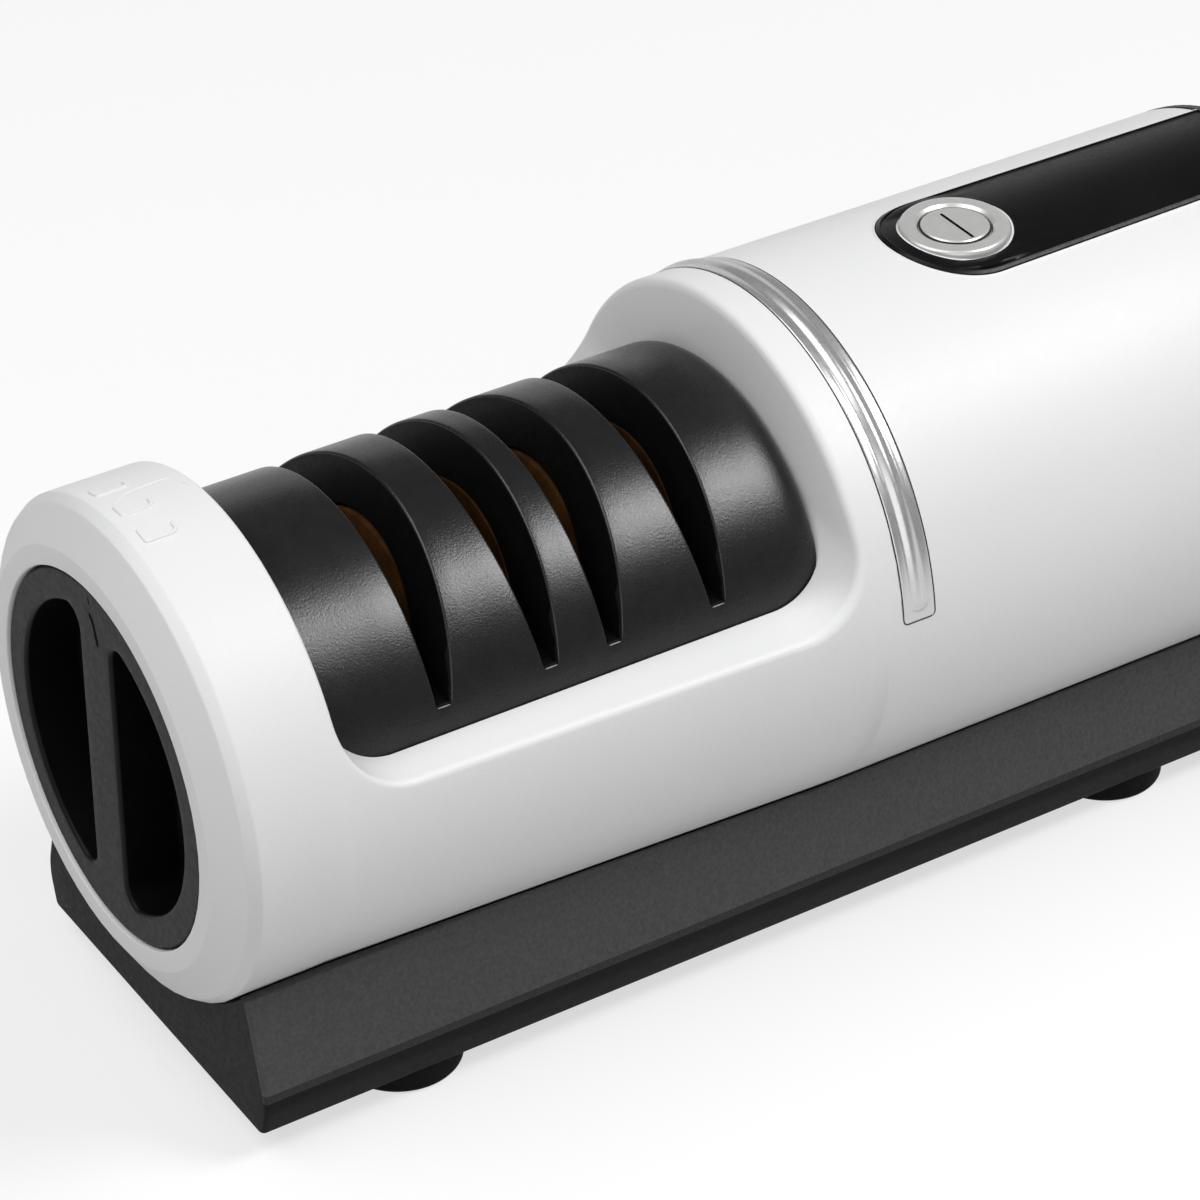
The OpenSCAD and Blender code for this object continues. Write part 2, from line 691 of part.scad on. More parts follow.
module button_disc() {
    r = press_d / 2;
    color([0.78, 0.78, 0.77]) place() translate([button_x, 0, 0]) difference() {
        rotate_extrude($fn = 96) polygon([
            [0, press_z1], each arc(r - 0.4, press_z1 - 0.4, 0.4, 90, 0, 3), [r, press_z1 - press_t],
            [2.2, press_z1 - press_t], [2.2, barrel_z0 + seat_gap], [0, barrel_z0 + seat_gap]
        ]);
        rotate_extrude($fn = 96) translate([r - 1.7, press_z1 - 0.3]) square([0.5, 1]);
        translate([-0.3, -2.6, press_z1 - 0.25]) cube([0.6, 5.2, 1]);
    }
}

// The return spring under the pressed disc, as one tube along a helix.
spring_r = press_d / 2 - 1.4;
spring_wire = 0.5;
spring_turns = 3;
spring_z0 = barrel_z0 + spring_wire + seat_gap;
spring_z1 = press_z1 - press_t - spring_wire - seat_gap;
spring_steps = 16;
spring_pitch = (spring_z1 - spring_z0) / spring_turns;
function coil_point(i) = let (a = 360 * i / spring_steps)
    [spring_r * cos(a), spring_r * sin(a), spring_z0 + spring_pitch * i / spring_steps];
echo(least_gap_between_spring_turns = spring_pitch - 2 * spring_wire);

// Points of the spring's tube: one ring of six for each step along the helix.
function coil_ring(i) = let (p = coil_point(i), a = 360 * i / spring_steps)
    [for (k = [0:5]) p + spring_wire * [cos(60 * k) * cos(a), cos(60 * k) * sin(a), sin(60 * k)]];

module button_spring() {
    n = spring_steps * spring_turns;
    pts = [for (i = [0:n]) for (q = coil_ring(i)) q];
    sides = [for (i = [0:n - 1]) for (k = [0:5]) let (a = 6 * i + k, b = 6 * i + (k + 1) % 6)
        each [[a, a + 6, b], [b, a + 6, b + 6]]];
    ends = [[for (k = [0:5]) k], [for (k = [5:-1:0]) 6 * n + k]];
    color([0.7, 0.71, 0.73]) place() translate([button_x, 0, 0])
        polyhedron(pts, concat(sides, ends), convexity = 10);
}

module button_nut() {
    color([0.72, 0.72, 0.70]) place() translate([button_x, 0, nut_z1 - 3]) difference() {
        rotate([0, 0, 30]) cylinder(r = nut_af / 2 / cos(30), h = 3, $fn = 6);
        translate([0, 0, -1]) cylinder(d = barrel_d + 0.1, h = 5);
    }
}

module switch_block() {
    z1 = barrel_z0 - 0.05;
    color([0.13, 0.13, 0.14]) place() translate([button_x, 0, 0]) {
        difference() {
            translate([0, 0, z1 - 5]) cylinder(d = barrel_d, h = 5);
            translate([0, 0, z1 - press_travel]) cylinder(r = 2.4, h = 5);
        }
        for (x = [-1, 1]) for (y = [-1, 1])
            translate([x * barrel_d / 4 - 1.2, y * 3 - 0.3, z1 - switch_h]) cube([2.4, 0.6, 3]);
    }
}

// The base's side profile in Y and Z, drawn in by g.
module base_profile(g = 0) {
    bulge = base_bulge_w / 2;
    k = [[base_w / 2, 0], [bulge, band_low], [bulge, band_top], [base_top_w / 2, base_h]];
    right = [for (p = k) [p[0] - g, p[1]]];
    left = [for (i = [3:-1:0]) [-k[i][0] + g, k[i][1]]];
    polygon(concat(right, left));
}

// The trough that the tube lies in, grown by g.
module trough(g) {
    turn_x(ax, 180) tube_profile(g);
}

module base_tray() {
    color([0.17, 0.17, 0.175]) place() difference() {
        along_x(0, base_l) base_profile();
        trough(seat_gap);
        difference() {
            translate([0, 0, -1]) along_x(base_wall, base_l - base_wall) base_profile(base_wall);
            trough(seat_gap + base_wall);
            for (p = plate_screw_xy) translate([p[0], p[1], 0]) cylinder(d = 8, h = 30);
        }
        translate([base_wall, -base_w / 2 + base_wall, -1])
            cube([base_l - 2 * base_wall, base_w - 2 * base_wall, plate_t + 1 + 2 * seat_gap]);
        for (x = body_screw_x) translate([x, 0, 0]) cylinder(d = 3.8, h = 30);
        for (p = plate_screw_xy) translate([p[0], p[1], 0]) cylinder(d = 3.2, h = 10);
    }
}

module bottom_plate() {
    w = base_w - 2 * base_wall - 2 * seat_gap;
    color([0.12, 0.12, 0.125]) place() difference() {
        translate([base_wall + seat_gap, -w / 2, seat_gap])
            cube([base_l - 2 * base_wall - 2 * seat_gap, w, plate_t]);
        for (f = foot_xy) translate([f[0], f[1], -1]) cylinder(d = 8.2, h = 10);
        for (p = plate_screw_xy) translate([p[0], p[1], -1]) cylinder(d = 3.6, h = 10);
        for (i = [0:5]) translate([base_l / 2 - 19.5 + 8 * i, -14, -1]) cube([3, 28, 10]);
    }
}

module base_screws() {
    color([0.62, 0.63, 0.65]) place() for (p = plate_screw_xy) {
        translate([p[0], p[1], -1.6]) cylinder(d = 6, h = 1.6);
        translate([p[0], p[1], -0.1]) cylinder(d = 3, h = 9);
    }
}

// One rubber foot with its plug through the bottom plate.
module rubber_foot(i) {
    r = foot_d / 2;
    z = plate_t + 2 * seat_gap;
    color([0.06, 0.06, 0.06]) place() translate([foot_xy[i][0], foot_xy[i][1], 0])
        rotate_extrude($fn = 96) polygon([
            [0, -foot_h], each arc(r - 1.2, -foot_h + 1.2, 1.2, -90, 0), [r, 0], [4, 0],
            [4, z], [5.2, z], [4.4, z + 2.4], [0, z + 2.4]
        ]);
}
module foot_front_near() { rubber_foot(0); }
module foot_front_far() { rubber_foot(1); }
module foot_rear_near() { rubber_foot(2); }
module foot_rear_far() { rubber_foot(3); }

module spindle_shaft() {
    color([0.70, 0.71, 0.73]) place() turn_x(sp, 64) polygon([
        [0, shaft_x0], [shaft_r - 0.5, shaft_x0], [shaft_r, shaft_x0 + 0.5],
        [shaft_r, shaft_x1 - 0.5], [shaft_r - 0.5, shaft_x1], [0, shaft_x1]
    ]);
}

// A bulkhead that carries a spindle bush and holds the cover from inside.
module bearing_frame(x) {
    r = cover_r - cover_t - seat_gap;
    difference() {
        union() {
            bar_x(r, x, x + frame_t, ax);
            intersection() {
                bar_x(tube_r(x) - wall - seat_gap, x, x + frame_t, ax);
                translate([x, -0.69 * r, 0]) cube([frame_t, 1.38 * r, ax]);
            }
            bar_x(bush_r + 4, x - 1.5, x + frame_t + 1.5, sp);
        }
        bar_x(bush_r + run_gap, x - 3, x + frame_t + 3, sp);
        for (side = [-1, 1]) bar_x(0.185 * r, x - 1, x + frame_t + 1, ax - 0.23 * r, side * 0.6 * r);
        bar_x(0.23 * r, x - 1, x + frame_t + 1, ax - 0.69 * r);
    }
}

module front_bearing_frame() {
    color([0.30, 0.31, 0.33]) place() bearing_frame(frame_front_x);
}
module rear_bearing_frame() {
    color([0.30, 0.31, 0.33]) place() bearing_frame(frame_rear_x);
}

// A sintered bush with a flange, in its bulkhead.
module bush(x) {
    bore = shaft_r + run_gap / 2;
    flange_x = x + frame_t + 1.5 + seat_gap;
    turn_x(sp, 64) polygon([
        [bore, x - 1.5], [bush_r, x - 1.5], [bush_r, flange_x],
        [bush_r + 2, flange_x], [bush_r + 2, x + frame_t + 3], [bore, x + frame_t + 3]
    ]);
}
module front_bush() { color([0.72, 0.58, 0.34]) place() bush(frame_front_x); }
module rear_bush() { color([0.72, 0.58, 0.34]) place() bush(frame_rear_x); }

// One sharpening wheel with its back plane at x = 0 and its coned face towards -X.
module wheel() {
    face = slot_gap / 2 - slot_w / 2 + wheel_reach - 2.4;
    r0 = slot_floor - spindle_h + 0.1;
    fall = (wheel_r - r0) * tan(guide_lean);
    rotate([0, -90, 0]) rotate_extrude($fn = 96) polygon([
        [hub_r + run_gap, 0], [wheel_r, 0], [wheel_r, face - fall],
        [r0, face], [hub_r + run_gap, face]
    ]);
}

// Places the front or the rear wheel of stage s.
module stage_wheel(s, dir) {
    x = stages[s] + slot_gap / 2;
    color([0.24, 0.12, 0.04]) place() translate([x - 2.4 * dir, 0, sp])
        mirror([dir < 0 ? 1 : 0, 0, 0]) wheel();
}
module coarse_front_wheel() { stage_wheel(0, 1); }
module coarse_rear_wheel() { stage_wheel(0, -1); }
module fine_front_wheel() { stage_wheel(1, 1); }
module fine_rear_wheel() { stage_wheel(1, -1); }

// The hub that carries both wheels of a stage and the flange between them.
module stage_hub(s) {
    x = stages[s] + slot_gap / 2;
    half = slot_gap / 2 - slot_w / 2 - 0.2;
    color([0.14, 0.14, 0.15]) place() turn_x(sp, 64) polygon([
        [shaft_r + run_gap, x - half], [hub_r, x - half], [hub_r, x - 0.6], [hub_flange_r, x - 0.6],
        [hub_flange_r, x + 0.6], [hub_r, x + 0.6], [hub_r, x + half], [shaft_r + run_gap, x + half]
    ]);
}
module coarse_hub() { stage_hub(0); }
module fine_hub() { stage_hub(1); }

// Spring washers that push the two wheels of each stage apart.
module wheel_springs() {
    color([0.72, 0.73, 0.75]) place() for (s = stages) for (dir = [-1, 1])
        translate([s + slot_gap / 2 + 0.9 * dir, 0, sp]) rotate([0, 90 * dir, 0]) rotate_extrude($fn = 64)
            polygon([[hub_r + 0.3, 0], [hub_r + 0.3, 0.4], [hub_flange_r - 1, 1.2], [hub_flange_r - 1, 0.8]]);
}

module shaft_coupling() {
    x0 = shaft_x1 - 8;
    x1 = motor_x - 4;
    r = shaft_r + 5;
    color([0.20, 0.35, 0.50]) place() turn_x(sp, 64) polygon([
        [shaft_r + run_gap, x0], [r, x0], [r, (x0 + x1) / 2 - 1.5], [r - 1.5, (x0 + x1) / 2 - 1.5],
        [r - 1.5, (x0 + x1) / 2 + 1.5], [r, (x0 + x1) / 2 + 1.5], [r, x1], [shaft_r + run_gap, x1]
    ]);
}

module motor_case() {
    r = motor_d / 2;
    color([0.50, 0.51, 0.53]) place() difference() {
        bar_x(r, motor_x + 4, motor_x1 - 4, sp);
        bar_x(r - 2, motor_x + 3, motor_x1 - 3, sp);
        for (a = [45:90:315]) translate([0, 0, sp]) rotate([a, 0, 0])
            translate([motor_x1 - 16, -4, 0]) cube([8, 8, 40]);
    }
}

// An end bell of the motor with its bearing boss, facing -X when dir is 1.
module end_bell(x, dir) {
    r = motor_d / 2;
    boss = shaft_r + 4.5;
    room = r - 4.2 - boss;
    translate([x, 0, sp]) mirror([dir < 0 ? 1 : 0, 0, 0]) rotate([0, 90, 0]) difference() {
        rotate_extrude($fn = 96) polygon([
            [shaft_r + run_gap / 2, -1], [boss, -1], [boss, 0.8], [r - 2, 0.8], [r, 2.8], [r, 4 - 0.05],
            [r - 2 - 0.2, 4 - 0.05], [r - 2 - 0.2, 6], [r - 4.2, 6], [r - 4.2, 3.4], [boss, 3.4],
            [boss, 7], [shaft_r + run_gap / 2, 7]
        ]);
        for (a = [0:60:300]) rotate([0, 0, a])
            translate([boss + room / 2, 0, -2]) cylinder(d = 0.44 * room, h = 10, $fn = 24);
    }
}
module motor_front_bell() { color([0.62, 0.63, 0.65]) place() end_bell(motor_x, 1); }
module motor_rear_bell() { color([0.62, 0.63, 0.65]) place() end_bell(motor_x1, -1); }

module field_magnets() {
    r1 = motor_d / 2 - 2 - 0.1;
    x0 = motor_x + magnet_front;
    x1 = motor_x1 - magnet_rear;
    color([0.28, 0.28, 0.30]) place() translate([0, 0, sp]) rotate([0, 90, 0]) for (a = [30, 210])
        rotate([0, 0, a]) rotate_extrude(angle = 120, $fn = 96)
            translate([rotor_r + 0.8, x0]) square([r1 - rotor_r - 0.8, x1 - x0]);
}

// The rotor: a slotted core, the winding's ends and the commutator.
module rotor() {
    x0 = motor_x + magnet_front + 2;
    x1 = motor_x1 - magnet_rear - 2;
    color([0.55, 0.30, 0.14]) place() {
        difference() {
            union() {
                bar_x(rotor_r, x0, x1, sp);
                bar_x(rotor_r - 2.6, x0 - 4, x1 + 4, sp);
                bar_x(rotor_r / 2, x1 + 4, x1 + 9, sp);
            }
            bar_x(shaft_r + run_gap, x0 - 6, x1 + 12, sp);
            for (a = [0:45:315]) translate([0, 0, sp]) rotate([a, 0, 0])
                translate([x0 - 1, -0.8, rotor_r - 3]) cube([x1 - x0 + 2, 1.6, 6]);
        }
    }
}

module motor_shaft() {
    color([0.70, 0.71, 0.73]) place() bar_x(shaft_r, shaft_x1 + 1, motor_x1 + 12, sp);
}

module cooling_fan() {
    x0 = motor_x1 + 3;
    fan_r = 0.435 * motor_d;
    color([0.12, 0.12, 0.13]) place() difference() {
        union() {
            bar_x(bush_r, x0, x0 + 8, sp);
            bar_x(fan_r, x0, x0 + 1.4, sp);
            translate([0, 0, sp]) for (a = [0:40:320]) rotate([a, 0, 0])
                translate([x0 + 1, -0.6, bush_r - 1]) cube([7, 1.2, fan_r - bush_r + 0.4]);
        }
        bar_x(shaft_r + run_gap, x0 - 1, x0 + 10, sp);
    }
}

// The two saddles and the rail that carry the motor in the housing.
module motor_cradle() {
    r = inner_rear - seat_gap;
    low = ax - rear_r;
    half = inner_rear - cradle_inset;
    color([0.24, 0.24, 0.25]) place() difference() {
        intersection() {
            bar_x(r, motor_x + 2, motor_x1, ax);
            union() {
                for (x = [motor_x + 8, motor_x1 - 12])
                    translate([x, -half, low]) cube([4, 2 * half, sp - 5 - low]);
                translate([motor_x + 8, -16, low]) cube([motor_l - 16, 32, rear_r - r + 10]);
            }
        }
        bar_x(motor_d / 2 + seat_gap, motor_x, motor_x1, sp);
        for (x = [motor_x + 20, motor_x1 - 20]) translate([x, 0, low]) cylinder(d = 4.2, h = rear_r - r + 12);
    }
}

// Place and size of the circuit board, behind the motor.
board_z = ax - inner_rear + 13.2;
board_x0 = motor_x1 - 2;
board_l = tail_l - 9;
board_half = inner_rear - board_inset;
board_post_x = [board_x0 + 4, board_x0 + board_l - 4];
board_post_xy = [for (x = board_post_x) for (y = [-1, 1]) [x, y * (board_half - 4)]];

module circuit_board() {
    color([0.12, 0.30, 0.16]) place() difference() {
        translate([board_x0, -board_half, board_z]) cube([board_l, 2 * board_half, 1.6]);
        for (p = board_post_xy) translate([p[0], p[1], board_z - 1]) cylinder(d = 3, h = 5);
    }
}

// What the board carries, and the posts that it stands on.
module board_components() {
    z = board_z + 1.6 + 0.05;
    color([0.20, 0.22, 0.30]) place() {
        translate([board_x0 + board_l * 0.3, -board_half / 2, z]) cylinder(d = 9, h = 13);
        translate([board_x0 + board_l * 0.3, board_half * 0.12, z]) cylinder(d = 7, h = 10);
        translate([board_x0 + board_l * 0.52, -board_half * 0.62, z]) cube([8, 9, 9]);
        translate([board_x0 + board_l * 0.52, 1, z]) cube([7, board_half * 0.5, 5]);
    }
    color([0.20, 0.20, 0.21]) place() for (p = board_post_xy) intersection() {
        union() {
            translate([p[0], p[1], 0]) cylinder(d = 5.6, h = board_z - 0.05);
            translate([p[0], p[1], 0]) cylinder(d = 2.9, h = board_z + 1.6);
        }
        bar_x(inner_rear - seat_gap, board_x0 - 4, board_x0 + board_l + 4, ax);
    }
}

housing();
rear_cap();
rear_cap_screws();
guide_cover();
front_knob();
knob_clip();
knob_carrier();
detent_spring();
selector_switch();
chrome_trim();
strip_panel();
button_bezel();
button_disc();
button_spring();
button_nut();
switch_block();
base_tray();
bottom_plate();
base_screws();
body_screws();
foot_front_near();
foot_front_far();
foot_rear_near();
foot_rear_far();
spindle_shaft();
front_bearing_frame();
rear_bearing_frame();
front_bush();
rear_bush();
coarse_front_wheel();
coarse_rear_wheel();
coarse_hub();
fine_front_wheel();
fine_rear_wheel();
fine_hub();
wheel_springs();
shaft_coupling();
motor_case();
motor_front_bell();
motor_rear_bell();
field_magnets();
rotor();
motor_shaft();
cooling_fan();
motor_cradle();
circuit_board();
board_components();
cord_gland();
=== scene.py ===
import json
import math

import bmesh
import bpy
import numpy as np
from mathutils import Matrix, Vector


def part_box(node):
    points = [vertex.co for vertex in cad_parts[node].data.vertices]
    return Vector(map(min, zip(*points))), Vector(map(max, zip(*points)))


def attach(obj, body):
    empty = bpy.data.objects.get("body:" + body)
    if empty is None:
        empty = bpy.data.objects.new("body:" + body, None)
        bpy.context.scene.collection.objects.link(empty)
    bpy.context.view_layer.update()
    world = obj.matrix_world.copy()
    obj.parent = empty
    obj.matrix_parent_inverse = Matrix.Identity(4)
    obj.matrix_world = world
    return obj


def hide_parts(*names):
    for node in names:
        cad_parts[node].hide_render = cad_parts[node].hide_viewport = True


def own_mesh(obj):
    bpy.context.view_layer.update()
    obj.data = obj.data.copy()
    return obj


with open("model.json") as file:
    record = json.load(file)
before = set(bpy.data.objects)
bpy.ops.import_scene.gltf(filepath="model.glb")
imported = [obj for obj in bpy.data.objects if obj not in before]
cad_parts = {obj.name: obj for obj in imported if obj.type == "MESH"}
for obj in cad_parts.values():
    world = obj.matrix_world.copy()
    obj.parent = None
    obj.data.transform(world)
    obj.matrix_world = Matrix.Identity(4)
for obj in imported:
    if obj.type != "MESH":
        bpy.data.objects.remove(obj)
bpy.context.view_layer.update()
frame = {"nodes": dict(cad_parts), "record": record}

# Sizes of the part in millimetres, from the base's front face and underside
MID_X = 116.8
FOOT_H = 5.5
AXIS_H = 57.8
SPINDLE_H = 6.0
FRONT_R = 45.0
REAR_R = 47.8
NOSE = 7.0
WINDOW_X0 = 16.0
WINDOW_X1 = 116.0
SILL_H = 9.9
SILL_TILT = math.radians(4)
WINDOW_CORNER = 12.5
SKIN_FRONT = 4.2
SKIN_REAR = 4.5
COVER_R = 37.4
LINING_R = 37.8
TUBE_L = 232.0
BUTTON_X = 166.5
BEZEL_D = 20.1
PRESS_D = 13.2
BUTTON_HOLE = 8.2
TOP_Z = AXIS_H + REAR_R


def to_part(points):
    """Points in millimetres from the base's front corner, as metres in the part's frame."""
    return (np.asarray(points, float) + (-MID_X, 0.0, FOOT_H)) * 0.001


def rounded(corners, steps=6):
    """A path through corners (x, y, radius) with each inner corner rounded."""
    path = []
    for i, (x, y, r) in enumerate(corners):
        if r <= 0 or i in (0, len(corners) - 1):
            path.append((x, y))
            continue
        p = np.array((x, y), float)
        a = np.array(corners[i - 1][:2], float) - p
        b = np.array(corners[i + 1][:2], float) - p
        la, lb = np.linalg.norm(a), np.linalg.norm(b)
        a, b = a / la, b / lb
        half = math.acos(max(-1.0, min(1.0, float(a @ b)))) / 2
        t = min(r / math.tan(half), 0.49 * la, 0.49 * lb)
        r = t * math.tan(half)
        c = p + (a + b) / np.linalg.norm(a + b) * r / math.sin(half)
        v0, v1 = p + a * t - c, p + b * t - c
        s0, s1 = math.atan2(v0[1], v0[0]), math.atan2(v1[1], v1[0])
        turn = (s1 - s0 + math.pi) % (2 * math.pi) - math.pi
        for k in range(steps + 1):
            s = s0 + turn * k / steps
            path.append((c[0] + r * math.cos(s), c[1] + r * math.sin(s)))
    return path


def sheet(loops, closed=False):
    """Points and faces of a sheet through loops of the same length."""
    a = np.asarray(loops, float)
    rows, cols = a.shape[:2]
    faces = []
    for i in range(rows - 1):
        for j in range(cols if closed else cols - 1):
            k = (j + 1) % cols
            faces.append((i * cols + j, i * cols + k, (i + 1) * cols + k, (i + 1) * cols + j))
    return a.reshape(-1, 3), faces


def joined(parts):
    """Several sheets as one list of points and one of faces."""
    points, faces, start = [], [], 0
    for p, f in parts:
        points.append(np.asarray(p, float))
        faces += [tuple(start + i for i in face) for face in f]
        start += len(p)
    return np.vstack(points), faces


def mirrored(part):
    """A sheet on the far side of the middle plane."""
    points, faces = part
    return np.asarray(points) * (1, -1, 1), [face[::-1] for face in faces]


def part_by(part, test):
    """The faces of a sheet whose middle passes a test."""
    points, faces = part
    return points, [f for f in faces if test(np.mean([points[i] for i in f], axis=0))]


def lathe_x(profile, z, turn=(0.0, 360.0), n=160):
    """A profile of (radius, x) turned about a line along X at height z."""
    angles = np.radians(np.linspace(turn[0], turn[1], n + 1))
    loops = [[(x, -r * math.sin(a), z + r * math.cos(a)) for a in angles] for r, x in profile]
    return sheet(loops)


def lathe_z(profile, x, y=0.0, n=128):
    """A profile of (radius, z) turned about a vertical line."""
    angles = np.linspace(0, 2 * math.pi, n, endpoint=False)
    loops = [[(x + r * math.cos(a), y + r * math.sin(a), z) for a in angles] for r, z in profile]
    return sheet(loops, closed=True)


def build(name, part, look, body="body", replaces=(), sharp=32, inside=None):
    """Makes a piece from points and faces, welded, facing outwards, and rides it on its body."""
    points, faces = part
    mesh = bpy.data.meshes.new(name)
    mesh.from_pydata([tuple(p) for p in to_part(points)], [], faces)
    bm = bmesh.new()
    bm.from_mesh(mesh)
    bmesh.ops.remove_doubles(bm, verts=bm.verts, dist=2e-6)
    bmesh.ops.dissolve_degenerate(bm, edges=bm.edges, dist=1e-7)
    loose = [v for v in bm.verts if not v.link_faces]
    bmesh.ops.delete(bm, geom=loose, context="VERTS")
    bmesh.ops.recalc_face_normals(bm, faces=bm.faces)
    if inside is not None:
        centre = to_part([inside])[0]
        facing = sum(
            f.calc_area() * f.normal.dot(f.calc_center_median() - type(f.normal)(centre)) for f in bm.faces
        )
        if facing < 0:
            bmesh.ops.reverse_faces(bm, faces=bm.faces)
    bm.to_mesh(mesh)
    bm.free()
    mesh.shade_smooth()
    mesh.set_sharp_from_angle(angle=math.radians(sharp))
    obj = bpy.data.objects.new(name, mesh)
    bpy.context.scene.collection.objects.link(obj)
    mesh.materials.append(look)
    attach(obj, body)
    if replaces:
        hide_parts(*replaces)
    return obj


# Materials


def add_noise(nodes, links, coord, scale, detail=2.0, rough=0.5):
    """A noise texture on the piece's own coordinates."""
    noise = nodes.new("ShaderNodeTexNoise")
    noise.inputs["Scale"].default_value = scale
    noise.inputs["Detail"].default_value = detail
    noise.inputs["Roughness"].default_value = rough
    links.new(coord, noise.inputs["Vector"])
    return noise.outputs["Fac"]


def add_range(nodes, links, value, low, high):
    """Spreads a noise value between two numbers."""
    spread = nodes.new("ShaderNodeMapRange")
    spread.inputs["From Min"].default_value = 0.3
    spread.inputs["From Max"].default_value = 0.7
    spread.inputs["To Min"].default_value = low
    spread.inputs["To Max"].default_value = high
    links.new(value, spread.inputs["Value"])
    return spread.outputs["Result"]


def add_grain_place(nodes, links, place, stretch, rings):
    """Coordinates for the grain: the piece's own, stretched along an axis, or distances from a line."""
    if stretch:
        mapping = nodes.new("ShaderNodeMapping")
        mapping.inputs["Scale"].default_value = stretch
        links.new(place, mapping.inputs["Vector"])
        return mapping.outputs["Vector"]
    if not rings:
        return place
    shift = nodes.new("ShaderNodeVectorMath")
    shift.operation = "SUBTRACT"
    shift.inputs[1].default_value = rings
    links.new(place, shift.inputs[0])
    flat = nodes.new("ShaderNodeVectorMath")
    flat.operation = "MULTIPLY"
    flat.inputs[1].default_value = (1.0, 1.0, 0.0)
    links.new(shift.outputs["Vector"], flat.inputs[0])
    length = nodes.new("ShaderNodeVectorMath")
    length.operation = "LENGTH"
    links.new(flat.outputs["Vector"], length.inputs[0])
    combine = nodes.new("ShaderNodeCombineXYZ")
    links.new(length.outputs["Value"], combine.inputs["X"])
    return combine.outputs["Vector"]


def make_look(name, colour, rough, other=None, metal=0.0, patch=90.0, rough_by=0.05, grain=1600.0,
              bump=0.12, height=0.00004, spec=0.5, stretch=None, rings=None):
    """A procedural material: two near colours in soft patches, uneven gloss and a fine grain."""
    look = bpy.data.materials.new(name)
    look.use_nodes = True
    nodes, links = look.node_tree.nodes, look.node_tree.links
    shader = nodes["Principled BSDF"]
    shader.inputs["Metallic"].default_value = metal
    shader.inputs["Specular IOR Level"].default_value = spec
    place = nodes.new("ShaderNodeTexCoord").outputs["Object"]
    grain_place = add_grain_place(nodes, links, place, stretch, rings)
    mix = nodes.new("ShaderNodeMix")
    mix.data_type = "RGBA"
    mix.inputs[6].default_value = (*colour, 1.0)
    mix.inputs[7].default_value = (*(other or [c * 0.93 for c in colour]), 1.0)
    links.new(add_range(nodes, links, add_noise(nodes, links, place, patch, 3.0), 0.0, 1.0), mix.inputs[0])
    links.new(mix.outputs[2], shader.inputs["Base Color"])
    fine = add_noise(nodes, links, grain_place, grain, 3.0, 0.6)
    uneven = add_noise(nodes, links, grain_place, grain * 0.4, 2.0)
    links.new(add_range(nodes, links, uneven, rough - rough_by, rough + rough_by), shader.inputs["Roughness"])
    bumps = nodes.new("ShaderNodeBump")
    bumps.inputs["Strength"].default_value = bump
    bumps.inputs["Distance"].default_value = height
    links.new(fine, bumps.inputs["Height"])
    links.new(bumps.outputs["Normal"], shader.inputs["Normal"])
    return look


